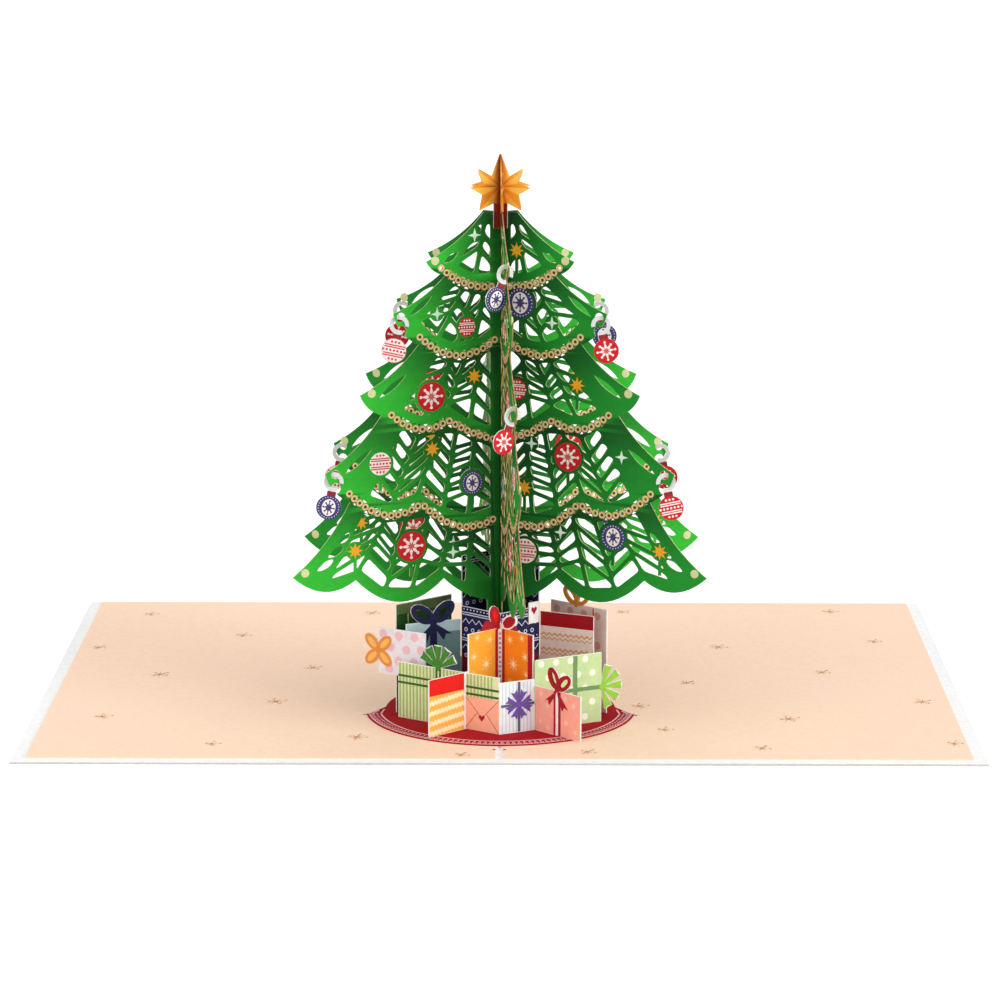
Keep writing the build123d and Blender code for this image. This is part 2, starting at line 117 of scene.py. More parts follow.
def upright(angle, x, y, level):
    """Place of a standing sheet that runs along a plan angle from a plan point."""
    along = Vector((cos(radians(angle)), sin(radians(angle)), 0))
    up = Vector((0, 0, 1))
    turn = Matrix((along, up, along.cross(up))).transposed().to_4x4()
    return Matrix.Scale(millimetre, 4) @ Matrix.Translation((x, y, level)) @ turn


def plate(name, place, outlines, depth, face, edge=None, shade=None):
    """Flat cut piece, filled between closed outlines, with holes where they nest."""
    curve = bpy.data.curves.new(name, "CURVE")
    curve.dimensions = "2D"
    curve.fill_mode = "BOTH"
    curve.extrude = depth / 2
    for outline in outlines:
        spline = curve.splines.new("POLY")
        spline.points.add(len(outline) - 1)
        for point, (x, y) in zip(spline.points, outline):
            point.co = (x, y, 0, 1)
        spline.use_cyclic_u = True
    holder = bpy.data.objects.new(name, curve)
    mesh = bpy.data.meshes.new_from_object(holder)
    bpy.data.objects.remove(holder)
    bpy.data.curves.remove(curve)
    mesh.materials.clear()
    mesh.materials.append(face)
    mesh.materials.append(edge or face)
    for polygon in mesh.polygons:
        polygon.material_index = 0 if abs(polygon.normal.z) > 0.5 else 1
        polygon.use_smooth = False
    if shade:
        values = mesh.attributes.new("shade", "FLOAT", "POINT")
        values.data.foreach_set("value", [shade(vertex.co.x, vertex.co.y) for vertex in mesh.vertices])
    mesh.transform(place)
    piece = bpy.data.objects.new(name, mesh)
    scene.collection.objects.link(piece)
    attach(piece, "root")
    return piece


def bar(x0, x1, y0, y1):
    return [(x0, y0), (x1, y0), (x1, y1), (x0, y1)]


cover_white = paper("cover_white", (246, 246, 246))
# Painted shade: a grey strip laid over the front edge of the cover.
edge_grey = paper("edge_grey", (206, 200, 196))
dress("cover_card", cover_white)
edge_line = bar(-card_width / 2, card_width / 2, edge_foot, cover_stock)
plate("cover_front_edge", upright(0, 0, -card_depth / 2, 0), [edge_line], edge_shade_depth, edge_grey)

# Liners: a peach sheet glued on each leaf of the cover, printed with small golden stars. They are
# slit where the lace of the mat tucks in, and notched at the front of the fold.
liner_level = 0.8
liner_ink = 0.02
star_arms, star_waist, star_turn = 8, 0.14, 0.2
speck_radius, speck_share, speck_shift = 0.36, 0.72, 0.5
star_spots = {
    "liner_left": (
        (-107, 72, 2.6), (-77, 46, 2.9), (-40, 74, 2.9), (-118, 31, 2.6), (-97, 0, 3.4), (-54, 8, 3.1),
        (-62, -29, 3.5), (-108, -45, 3.0), (-76, -72, 2.6), (-38, -65, 3.3), (-10, -82, 2.4),
    ),
    "liner_right": (
        (99, 77, 3.0), (109, 40, 2.6), (63, 33, 3.3), (91, 4, 2.9), (52, -8, 2.7), (116, -28, 3.2),
        (78, -46, 3.6), (38, -33, 3.0), (44, -57, 2.6), (120, -70, 2.6), (69, -75, 2.7), (23, -79, 2.9),
        (36, 76, 2.6),
    ),
}
mat_slit = (33.9, 37.2, -42.9, -42.2)
fold_slit = (1.0, 1.7, -77.4, -76.4)


def flat(level):
    return Matrix.Scale(millimetre, 4) @ Matrix.Translation((0, 0, level))


def disc(x, y, radius, sides=28, squash=1.0):
    return [
        (x + radius * squash * cos(2 * pi * step / sides), y + radius * sin(2 * pi * step / sides))
        for step in range(sides)
    ]


def burst(x, y, radius, arms, waist, turn=0.0, squash=1.0):
    """Star with straight arms, as one closed outline."""
    points = []
    for step in range(2 * arms):
        reach = radius if step % 2 == 0 else radius * waist
        angle = turn + pi * step / arms
        points.append((x + squash * reach * sin(angle), y + reach * cos(angle)))
    return points


liner_peach = paper("liner_peach", (254, 220, 193), mottle=0.03)
flake_gold = paper("flake_gold", (192, 136, 72))
# Painted shade: dark strips where the liners are slit and notched.
slit_dark = paper("slit_dark", (84, 58, 52))
for node, spots in star_spots.items():
    dress(node, liner_peach)
    stars = []
    for index, (x, y, radius) in enumerate(spots):
        stars.append(burst(x, y, radius, star_arms, star_waist, star_turn * index))
        for arm in range(4):
            turn = star_turn * index + pi * arm / 2
            speck_x = x + speck_share * radius * sin(turn) + speck_shift
            speck_y = y + speck_share * radius * cos(turn) + speck_shift
            stars.append(disc(speck_x, speck_y, speck_radius, 8))
    plate(f"{node}_stars", flat(liner_level), stars, liner_ink, flake_gold)
# Dark bars of painted shade over the slits and the notches at the fold.
slits = [
    bar(*sorted((side * x0, side * x1)), y0, y1)
    for x0, x1, y0, y1 in (mat_slit, fold_slit) for side in (-1, 1)
]
plate("slit_marks", flat(liner_level), slits, liner_ink, slit_dark)

# Skirt: the deep red mat under the tree, a disc of thin paper glued on the liners. Its front is
# printed with a band of pale lace, whose ends dip to the slits.
axis_y = -37.0
stock = 0.3
skirt_radius = 36.7
skirt_top = 1.1
lace_ink = 0.03
lace_lines = ((0.5, 0.35), (3.6, 0.45))
lace_start, lace_end, lace_steps = 189, 351, 60
eyelets, eyelet_start, eyelet_sweep = 66, 189.5, 161
eyelet_inset, eyelet_radius, eyelet_rim = 1.5, 0.55, 0.22
pinhole_inset, pinhole_radius = 2.75, 0.32
lace_end_lines = (((36.1, -42.7), (33.6, -38.9), 0.35), ((32.7, -42.7), (31.9, -38.0), 0.45))
end_dot_x, end_dot_y, end_dot_radius = 34.4, -41.9, 0.45
end_dot_step = (-0.5, 1.2)
flap_sink, flap_angle = 0.16, 9
flap_corners = (36.2, 31.2, 31.3, 33.4)
flap_rise, flap_dip = 1.8, 1.6


def around(radius, turn):
    """Point of a circle about the trunk."""
    return (radius * cos(turn), axis_y + radius * sin(turn))


skirt_red = paper("skirt_red", (162, 6, 24), mottle=0.08, roughness=0.9)
lace_pink = paper("lace_pink", (238, 190, 190))
dress("tree_skirt", skirt_red)
lace = []
for line_inset, width in lace_lines:
    radius = skirt_radius - line_inset
    start, end = radians(lace_start), radians(lace_end)
    turns = [start + (end - start) * step / lace_steps for step in range(lace_steps + 1)]
    outer = [around(radius, turn) for turn in turns]
    inner = [around(radius - width, turn) for turn in reversed(turns)]
    lace.append(outer + inner)
for index in range(eyelets):
    turn = radians(eyelet_start + eyelet_sweep * index / (eyelets - 1))
    middle = around(skirt_radius - eyelet_inset, turn)
    lace.append(disc(*middle, eyelet_radius, 10))
    lace.append(disc(*middle, eyelet_radius - eyelet_rim, 8))
    lace.append(disc(*around(skirt_radius - pinhole_inset, turn), pinhole_radius, 10))
plate("skirt_lace", flat(skirt_top), lace, lace_ink, lace_pink)
ends = []
for side in (-1, 1):
    for (x0, y0), (x1, y1), width in lace_end_lines:
        ends.append([(side * x0, y0), (side * (x0 - width), y0), (side * (x1 - width), y1), (side * x1, y1)])
    for step in range(3):
        x, y = end_dot_x + end_dot_step[0] * step, end_dot_y + end_dot_step[1] * step
        ends.append(disc(side * x, y, end_dot_radius, 8))
plate("skirt_lace_ends", flat(skirt_top), ends, lace_ink, lace_pink)
slit_line = axis_y - skirt_radius * sin(radians(flap_angle))
flap_levels = (slit_line, slit_line, axis_y + flap_rise, axis_y - flap_dip)
for side, side_name in ((-1, "left"), (1, "right")):
    flap = [(side * x, y) for x, y in zip(flap_corners, flap_levels)]
    plate(f"skirt_end_{side_name}", flat(skirt_top - flap_sink), [flap], stock, skirt_red)

# Tree: three lattice sheets of green paper, laser cut, which slide together on one upright axis.
# Garlands of rings hang across each tier, and the branches repeat the shares of the solids.
branch_reach = 60.3
tree_height = 136.6
crown_share = (0.083, 1.0)
tip_shares = ((0.358, 0.910), (0.516, 0.813), (0.675, 0.658), (0.842, 0.510), (1.0, 0.311))
start_shares = ((0.267, 0.881), (0.396, 0.749), (0.575, 0.616), (0.728, 0.450))
scallop_shares = (
    (1.0, 0.311, 0.703, 0.294, 0.026),
    (0.703, 0.294, 0.279, 0.280, 0.046),
    (0.279, 0.280, 0.066, 0.228, 0.010),
)
garland_shares = (
    ((0.287, 0.896, 0.018, 0.856, 0.016),),
    ((0.390, 0.764, 0.008, 0.756, 0.038),),
    ((0.527, 0.615, 0.257, 0.596, 0.023), (0.257, 0.596, 0.010, 0.548, 0.006)),
    ((0.730, 0.467, 0.385, 0.435, 0.033), (0.385, 0.435, 0.010, 0.396, 0.034)),
)
rib_top_shares = (
    (0.040, 0.078, 0.116),
    (0.040, 0.083, 0.133, 0.183, 0.229),
    (0.040, 0.108, 0.176, 0.245, 0.315),
    (0.040, 0.128, 0.216, 0.305, 0.395, 0.485),
    (0.040, 0.145, 0.250, 0.355, 0.460, 0.565, 0.670),
)
rib_foot_shares = (
    (0.040, 0.120, 0.215),
    (0.040, 0.124, 0.212, 0.302, 0.398),
    (0.040, 0.146, 0.257, 0.370, 0.482),
    (0.040, 0.158, 0.280, 0.402, 0.525, 0.645),
    (0.040, 0.165, 0.295, 0.430, 0.560, 0.690, 0.830),
)
window_rows = (3, 3, 4, 5, 4)
tip_cut_shares = (
    (0.205, 0.925, 0.290, 0.905),
    (0.330, 0.843, 0.440, 0.806),
    (0.455, 0.692, 0.600, 0.650),
    (0.620, 0.552, 0.750, 0.506),
)
leaf_cell_shares = (
    ((0.891, 0.319), (0.845, 0.338), (0.803, 0.341), (0.820, 0.328), (0.858, 0.319)),
    ((0.839, 0.343), (0.796, 0.364), (0.758, 0.366), (0.765, 0.354), (0.801, 0.344)),
    ((0.786, 0.369), (0.750, 0.388), (0.727, 0.391), (0.735, 0.377), (0.758, 0.370)),
)
trunk_half = 4.0
seat_half, seat_depth = 2.2, 4.6
star_seat = tree_height - seat_depth
branch_bow, notch_bow = -0.06, 0.12
branch_steps, notch_steps, hem_steps = 14, 8, 14
garland_width = 2.2
branch_band = 2.4
bottom_band = 3.4
rib_width = 1.3
bar_width = 1.1
window_slant = 1.0
slant_limit = 0.55
tip_cut_width, tip_cut_steps = 1.6, 6
corner_ease, ease_limit = 0.9, 0.4
ring_pitch, ring_radius, ring_hole = 2.0, 0.97, 0.45
ring_stride = 0.0005
link_corners = ((0.62, 0.0), (1.3, 0.72), (1.3, -0.72))
hook_shares = {1: (0.297, 0.909), 2: (0.479, 0.805), 3: (0.610, 0.658), 4: (0.794, 0.507)}
hook_hole_radius, hook_hole_margin = 1.25, 0.3
hook_bay_radius, hook_bay_drop = 1.5, 3.75
bay_steps, halvings = 10, 20
slot_half = 0.42
joint_heights = {
    "left_front": ((0.0, 2 / 3),),
    "right_front": ((0.0, 1 / 3), (2 / 3, 1.0)),
    "front": ((1 / 3, 1.0),),
}
hook_tiers = {"left_front": (2, 4), "right_front": (2, 4), "front": (1, 3)}
sheet_angles = {"left_front": 25.0, "right_front": 155.0, "front": 96.5}
ring_ink, ring_shade_depth, ring_shade_rim = 0.08, 0.03, 0.12
down_shares, outward_shares = (0.16, 0.94), (0.26, 0.86)
taper_share, least_taper_share, end_share = 1.15, 0.1, 0.001


def on_sheet(reach_share, height_share):
    return (reach_share * branch_reach, height_share * tree_height)


def rounded(corners, radius):
    """Outline with its corners eased, as a laser cuts them."""
    points = []
    count = len(corners)
    for index, (x, y) in enumerate(corners):
        for other in (corners[index - 1], corners[(index + 1) % count]):
            share = min(radius / hypot(other[0] - x, other[1] - y), ease_limit)
            points.append((x + share * (other[0] - x), y + share * (other[1] - y)))
        before, after = points[-2], points[-1]
        middle = ((before[0] + after[0] + 2 * x) / 4, (before[1] + after[1] + 2 * y) / 4)
        points.insert(-1, middle)
    return points


def hang(swags, reach_share):
    """Height share of a chain of hanging swags, each from its far end to its near one."""
    for far, far_height, near, near_height, sag in swags:
        if reach_share >= near:
            break
    along = (far - reach_share) / (far - near)
    return far_height + along * (near_height - far_height) - 4 * sag * along * (1 - along)


def along_rib(rib, cut, side):
    (top_x, top_y), (foot_x, foot_y) = rib
    return (top_x + cut * (foot_x - top_x) + side * rib_width / 2, top_y + cut * (foot_y - top_y))


def arc(start, end, sag_share, steps):
    """Points of a shallow arc after its start; a positive sag bows to the left of the way."""
    (x0, y0), (x1, y1) = start, end
    points = []
    for step in range(1, steps + 1):
        along = step / steps
        sag = 4 * sag_share * along * (1 - along)
        points.append((x0 + along * (x1 - x0) - sag * (y1 - y0), y0 + along * (y1 - y0) + sag * (x1 - x0)))
    return points


def tier_ribs(tier):
    """Ribs of one tier, from the garland or the crown above down to the band below."""
    ribs = []
    garland_half = garland_width / 2 / tree_height
    bar_share = bar_width / tree_height
    for top_share, foot_share in zip(rib_top_shares[tier], rib_foot_shares[tier]):
        if tier == 0:
            top_height = crown_share[1] - 3 * bar_share
        else:
            top_height = hang(garland_shares[tier - 1], top_share) - garland_half - bar_share
        if tier < len(garland_shares):
            foot_height = hang(garland_shares[tier], foot_share) + garland_half + branch_band / tree_height
        else:
            foot_height = hang(scallop_shares, foot_share) + bottom_band / tree_height
        ribs.append((on_sheet(top_share, top_height), on_sheet(foot_share, foot_height)))
    return ribs


def tier_windows(tier):
    """Slanted windows between the ribs of one tier; their bars lean to and fro by column."""
    shapes = []
    ribs = tier_ribs(tier)
    rows = window_rows[tier]
    lowest = tier == len(garland_shares)
    for column, (left_rib, right_rib) in enumerate(zip(ribs, ribs[1:])):
        drop = left_rib[0][1] - left_rib[1][1]
        top_lean, foot_lean = right_rib[0][1] - left_rib[0][1], right_rib[1][1] - left_rib[1][1]
        cuts = [(0.0, 0.0)]
        for row in range(1, rows):
            level = row / rows
            width = along_rib(right_rib, level, -1)[0] - along_rib(left_rib, level, 1)[0]
            lean = top_lean * (1 - level) + foot_lean * level
            shift = (window_slant * width * (-1 if column % 2 else 1) - lean) / drop / 2
            shift = min(max(shift, -slant_limit / rows), slant_limit / rows)
            cuts.append((level + shift, level - shift))
        cuts.append((1.0, 1.0))
        for row in range(rows):
            if lowest and column == 0 and row == rows - 1:
                continue
            edges = []
            for (left_cut, right_cut), half_bar in (
                (cuts[row], -bar_width / 2 if row else 0),
                (cuts[row + 1], bar_width / 2 if row < rows - 1 else 0),
            ):
                left, right = along_rib(left_rib, left_cut, 1), along_rib(right_rib, right_cut, -1)
                shift = half_bar * hypot(right[0] - left[0], right[1] - left[1]) / (right[0] - left[0])
                edges.append(((left[0], left[1] + shift), (right[0], right[1] + shift)))
            (top_left, top_right), (foot_left, foot_right) = edges
            shapes.append([top_left, top_right, foot_right, foot_left])
    return shapes


def tip_windows():
    """Narrow slits in the branch tips, which end short of the holes for the hooks."""
    shapes = []
    for tier, (inner, inner_height, outer, outer_height) in enumerate(tip_cut_shares, 1):
        outer = min(outer, hook_shares[tier][0] - (hook_hole_radius + hook_hole_margin) / branch_reach)
        (x0, y0), (x1, y1) = on_sheet(inner, inner_height), on_sheet(outer, outer_height)
        lift = tip_cut_width / hypot(x1 - x0, y1 - y0) / 2
        upper = arc((x0, y0), (x1, y1), -lift, tip_cut_steps)
        lower = arc((x1, y1), (x0, y0), -lift, tip_cut_steps)
        shapes.append([(x0, y0)] + upper + lower[:-1])
    return shapes


def half_outline():
    """Outer edge of one wing, from the foot of the trunk up to the seat of the star."""
    begin = on_sheet(*crown_share)
    edge = [begin]
    for tip_share, start_share in zip(tip_shares, start_shares + (None,)):
        tip = on_sheet(*tip_share)
        edge += arc(begin, tip, branch_bow, branch_steps)
        if start_share:
            begin = on_sheet(*start_share)
            edge += arc(tip, begin, notch_bow, notch_steps)
    for swag in scallop_shares:
        far, near = swag[0], swag[2]
        for step in range(1, hem_steps + 1):
            share = far + (near - far) * step / hem_steps
            edge.append(on_sheet(share, hang((swag,), share)))
    foot = [(trunk_half, 0.0), (trunk_half, edge[-1][1])]
    return foot + edge[::-1] + [(seat_half, tree_height), (seat_half, star_seat)]


def bitten(outline, x, y, radius):
    """Outline with a round bay cut up into its underside, where a hook hangs."""
    points = []
    for (x0, y0), (x1, y1) in zip(outline[-1:] + outline, outline):
        inside_0, inside_1 = hypot(x0 - x, y0 - y) < radius, hypot(x1 - x, y1 - y) < radius
        if inside_0 != inside_1:
            low, high = 0.0, 1.0
            for _ in range(halvings):
                middle = (low + high) / 2
                if (hypot(x0 + middle * (x1 - x0) - x, y0 + middle * (y1 - y0) - y) < radius) == inside_0:
                    low = middle
                else:
                    high = middle
            turn = atan2(y0 + low * (y1 - y0) - y, x0 + low * (x1 - x0) - x)
            if inside_1:
                entry = turn
            else:
                entry, leave = (entry - pi / 2 + pi) % (2 * pi) - pi, (turn - pi / 2 + pi) % (2 * pi) - pi
                for step in range(bay_steps + 1):
                    swing = pi / 2 + entry + step / bay_steps * (leave - entry)
                    points.append((x + radius * cos(swing), y + radius * sin(swing)))
        if not inside_1:
            points.append((x1, y1))
    return points


def garland_rings(tier):
    """Middles of the rings of one garland, from the tip inward."""
    swags = garland_shares[tier]
    rings = []
    share = swags[0][0]
    while share > swags[-1][2]:
        x, y = on_sheet(share, hang(swags, share))
        if not rings or hypot(x - rings[-1][0], y - rings[-1][1]) >= ring_pitch:
            rings.append((x, y))
        share -= ring_stride
    return rings


def link_windows(tier):
    """Three-cornered cuts above and below a garland, which leave its rings hanging by links."""
    shapes = []
    chain = garland_rings(tier)
    for index, ((x0, y0), (x1, y1)) in enumerate(zip(chain, chain[1:])):
        length = hypot(x1 - x0, y1 - y0)
        along = ((x1 - x0) / length, (y1 - y0) / length)
        middle = ((x0 + x1) / 2, (y0 + y1) / 2)
        for side in (-1, 1):
            if index == 0 or index % 3 == 1 + side and tier:
                continue
            shape = []
            for near, lean in link_corners:
                x = middle[0] - side * near * along[1] + lean * along[0]
                y = middle[1] + side * near * along[0] + lean * along[1]
                shape.append((x, y))
            shapes.append(shape)
    return shapes


def wing_shade(x, y):
    """Shade of the branches: printed deep under each garland, with painted shade deepening it towards the
    axis, where the sheets meet; bright at hems and tips.
    """
    reach = abs(x) / branch_reach
    height = y / tree_height
    top = 1.0
    for swags in garland_shares + (scallop_shares,):
        foot = hang(swags, min(max(reach, swags[-1][2] + end_share), swags[0][0]))
        if height > foot:
            break
        top = foot
    down = min(max((top - height) / (top - foot), 0.0), 1.0) if top > foot else 1.0
    outward = min(reach / max(taper_share - height, least_taper_share), 1.0)
    down_tone = down_shares[0] + down_shares[1] * down
    return min(down_tone * (outward_shares[0] + outward_shares[1] * outward), 1.0)


garland_tiers = range(len(garland_shares))
rings = [ring for tier in garland_tiers for ring in garland_rings(tier)]
half_windows = []
for tier in range(len(window_rows)):
    half_windows += [rounded(corners, corner_ease) for corners in tier_windows(tier)]
half_windows += tip_windows()
half_windows += [rounded([on_sheet(*corner) for corner in cell], corner_ease) for cell in leaf_cell_shares]
half_windows += [cut for tier in garland_tiers for cut in link_windows(tier)]
half_windows += [disc(x, y, ring_hole, 8) for x, y in rings[::4]]
# Deep greens: printed dark under the garlands, and painted shade towards the axis between the sheets.
green_face = paper("tree_green", (50, 184, 50), deep=(2, 46, 17), roughness=0.7)
# Painted shade: a darker copy of the tree green for the right front and front sheets, which face away from
# the key.
shaded_green_face = paper("tree_forest", (30, 146, 44), deep=(2, 40, 16), roughness=0.7)
sheet_greens = {"left_front": green_face, "right_front": shaded_green_face, "front": shaded_green_face}
green_edge = paper("cut_edge", (192, 204, 146), mottle=0.25)
# Painted shade: a darker, browner copy of the cut edge for the front sheet, seen edge-on in shade at the
# axis.
singed_edge = paper("singed_edge", (160, 136, 86), mottle=0.45)
sheet_edges = {"left_front": green_edge, "right_front": green_edge, "front": singed_edge}
ring_gold = paper("ring_gold", (236, 196, 142))
# Painted shade for the ring holes that are not cut.
ring_shade = paper("ring_shade", (84, 62, 34))
ring_edge = paper("ring_edge", (150, 96, 52))
for name, angle in sheet_angles.items():
    place = upright(angle, 0, axis_y, skirt_top)
    wing = half_outline()
    hook_holes = []
    for tier in hook_tiers[name]:
        x, y = on_sheet(*hook_shares[tier])
        wing = bitten(wing, x, y - hook_bay_drop, hook_bay_radius)
        hook_holes.append(disc(x, y, hook_hole_radius, 16))
    outline = list(wing)
    cuts = joint_heights[name]
    if cuts[-1][1] == 1.0:
        notch = star_seat * cuts[-1][0]
        outline += [(slot_half, star_seat), (slot_half, notch), (-slot_half, notch), (-slot_half, star_seat)]
    outline += [(-x, y) for x, y in reversed(wing)]
    if cuts[0][0] == 0.0:
        notch = star_seat * cuts[0][1]
        outline += [(-slot_half, 0.0), (-slot_half, notch), (slot_half, notch), (slot_half, 0.0)]
    holes = half_windows + hook_holes
    holes += [[(-x, y) for x, y in hole] for hole in holes]
    sheet = plate(f"tree_{name}", place, [outline] + holes, stock, sheet_greens[name],
                  sheet_edges[name], wing_shade)
    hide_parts(f"tree_sheet_{name}")
    links, dark = [], []
    for index, (x, y) in enumerate(rings):
        for side in (-1, 1):
            links += [disc(side * x, y, ring_radius, 14), disc(side * x, y, ring_hole, 8)]
            # Where a ring's hole is not cut, a dark disc shows in it: painted shade, as seen through a hole.
            if index % 4:
                dark.append(disc(side * x, y, ring_hole + ring_shade_rim, 8))
    plate(f"garlands_{name}", place, links, stock + ring_ink, ring_gold, ring_edge)
    plate(f"ring_shade_{name}", place, dark, stock + ring_shade_depth, ring_shade)

# Prints on the branches: balls and small golden flakes, each on a round ground with a stem, pale
# sparks, and cream dots near the tips. They are printed alike on both faces of the sheets.
ball_red = paper("ball_red", (206, 28, 38))
ball_navy = paper("ball_navy", (66, 64, 118))
ball_pale = paper("ball_pale", (252, 232, 226))
ball_rose = paper("ball_rose", (204, 62, 66))
motif_white = paper("motif_white", (252, 238, 234))
motif_rose = paper("motif_rose", (214, 96, 92))
flake_orange = paper("flake_orange", (244, 168, 40))
spark_pale = paper("spark_pale", (222, 244, 222))
tip_cream = paper("tip_cream", (214, 214, 158))
wing_prints = {
    "front_left": (
        ("red", 20.3, 88.1, 4.0), ("red", 26.3, 47.9, 4.1), ("pale", 35.1, 71.1, 3.1),
        ("navy", 8.4, 63.7, 3.1), ("knit", 9.9, 106.1, 2.5),
    ),
    "front_right": (
        ("navy", 5.9, 112.4, 4.0), ("red", 20.0, 71.8, 3.9), ("navy", 33.3, 51.1, 3.5),
        ("pale", 7.4, 44.9, 3.4), ("knit", 4.9, 89.0, 2.8),
    ),
}
wing_flakes = {
    "front_left": ((7.8, 92.7), (20.1, 73.9), (42.5, 48.1)),
    "front_right": ((4.8, 126.4), (22.6, 91.4), (46.8, 48.4), (7.2, 62.4)),
}
wing_sparks = {
    "front_left": ((7.6, 130.6), (18.5, 110.2), (14.1, 45.2)),
    "front_right": ((15.2, 107.6), (35.6, 73.0), (17.9, 51.0), (9.3, 74.6)),
}
wing_sides = {
    ("left_front", -1): "front_left", ("left_front", 1): "front_right",
    ("right_front", -1): "front_right", ("right_front", 1): "front_left",
    ("front", -1): "front_left", ("front", 1): "front_right",
}
tip_dots = {1: (19.0, 124.4), 2: (28.8, 111.6), 3: (37.4, 90.2), 4: (47.4, 70.6), 5: (56.8, 43.4)}
tip_dot_radius = 1.15
flake_radius, spark_radius = 2.25, 1.9
ball_rim, flake_rim, spark_rim = 0.75, 0.3, 0.1
stem_half, stem_length = 0.45, 4.2
stem_ink, ground_ink, dot_ink, print_ink, print_step = 0.02, 0.03, 0.05, 0.09, 0.05
small_flake, spark = (8, 0.46), (4, 0.32)
flake_arms, flake_waist, arm_shares = 8, 0.42, (0.98, 0.86)
bud_share = 0.14
red_flake_share, red_middle_share, red_middle_waist = 0.76, 0.36, 0.45
medal_share, medal_squash = 0.72, 0.80
bead_count, bead_share, bead_ring_shares = 24, 0.045, (0.86, 0.88)
navy_flake_share, navy_squash = 0.56, 0.82
row_share, row_end_share = 0.36, 0.93
line_shares = ((-0.14, -0.04), (0.04, 0.14))
knit_pitch_share, knit_dot_share = 0.30, 0.105


def snowflake(x, y, radius, squash=1.0):
    """Eight-armed flake, and the bud at the end of each arm."""
    buds = []
    for arm in range(flake_arms):
        turn = 2 * pi * arm / flake_arms
        reach = radius * arm_shares[arm % 2]
        buds.append(disc(x + squash * reach * sin(turn), y + reach * cos(turn), bud_share * radius, 7))
    return [burst(x, y, radius, flake_arms, flake_waist, squash=squash)], buds


def knit_rows(x, y, radius):
    """Rows of dots between pairs of lines, cut off by the edge of the ball."""
    rows = []
    for row in range(-2, 3):
        level = row_share * radius * row
        half = sqrt(max((row_end_share * radius) ** 2 - level ** 2, 0.0))
        if row % 2:
            for low, high in line_shares:
                rows.append(bar(x - half, x + half, y + level + low * radius, y + level + high * radius))
        else:
            pitch = knit_pitch_share * radius
            reach = int(half / pitch)
            for dot in range(-reach, reach + 1):
                rows.append(disc(x + pitch * dot, y + level, knit_dot_share * radius, 6))
    return rows


def ball_layers(kind, x, y, radius):
    """Outlines of one printed ball, layer by layer, each with its material."""
    ball = [disc(x, y, radius)]
    if kind == "red":
        flake, buds = snowflake(x, y, red_flake_share * radius)
        middle = burst(x, y, red_middle_share * radius, flake_arms, red_middle_waist, pi / flake_arms)
        return [(ball_red, ball), (motif_white, flake), (motif_white, buds), (motif_rose, [middle])]
    if kind == "navy":
        flake, buds = snowflake(x, y, navy_flake_share * radius, navy_squash)
        medal = [disc(x, y, medal_share * radius, squash=medal_squash)]
        across, up = (share * radius for share in bead_ring_shares)
        for bead in range(bead_count):
            turn = 2 * pi * bead / bead_count
            medal.append(disc(x + across * cos(turn), y + up * sin(turn), bead_share * radius, 5))
        return [(ball_navy, ball), (motif_white, medal), (ball_navy, flake), (ball_navy, buds)]
    base, marks = (ball_pale, ball_rose) if kind == "pale" else (ball_red, motif_white)
    return [(base, ball), (marks, knit_rows(x, y, radius))]


for (name, side), wing_name in wing_sides.items():
    place = upright(sheet_angles[name], 0, axis_y, skirt_top)
    label = f"{name}_{'near' if side < 0 else 'far'}"
    balls = [(kind, side * x, y, radius) for kind, x, y, radius in wing_prints[wing_name]]
    flake_spots = [(side * x, y) for x, y in wing_flakes[wing_name]]
    spark_spots = [(side * x, y) for x, y in wing_sparks[wing_name]]
    grounds = [disc(x, y, radius + ball_rim, 32) for kind, x, y, radius in balls]
    grounds += [disc(x, y, flake_radius + flake_rim, 20) for x, y in flake_spots]
    grounds += [disc(x, y, spark_radius + spark_rim, 20) for x, y in spark_spots]
    stems = []
    for x, y, radius in [ball[1:] for ball in balls] + [(x, y, flake_radius) for x, y in flake_spots]:
        stems.append(bar(x - stem_half, x + stem_half, y - radius - stem_length, y - radius))
    for part, ink, outlines in (("grounds", ground_ink, grounds), ("stems", stem_ink, stems)):
        plate(f"{part}_{label}", place, outlines, stock + ink, sheet_greens[name], green_edge,
              wing_shade)
    layers = {}
    for ball in balls:
        for index, (material, outlines) in enumerate(ball_layers(*ball)):
            layers.setdefault((index, material.name), (material, []))[1].extend(outlines)
    for (index, material_name), (material, outlines) in layers.items():
        depth = stock + print_ink + print_step * index
        plate(f"print_{label}_{index}_{material_name}", place, outlines, depth, material)
    flakes = [burst(x, y, flake_radius, *small_flake) for x, y in flake_spots]
    sparks = [burst(x, y, spark_radius, *spark) for x, y in spark_spots]
    tiers = (1, 3, 5) if side < 0 and name != "front" else (1, 2, 3, 4, 5)
    dots = [disc(side * tip_dots[tier][0], tip_dots[tier][1], tip_dot_radius, 18) for tier in tiers]
    for part, ink, outlines, material in (
        ("flakes", print_ink, flakes, flake_orange), ("sparks", print_ink, sparks, spark_pale),
        ("tip_dots", dot_ink, dots, tip_cream),
    ):
        plate(f"{part}_{label}", place, outlines, stock + ink, material)

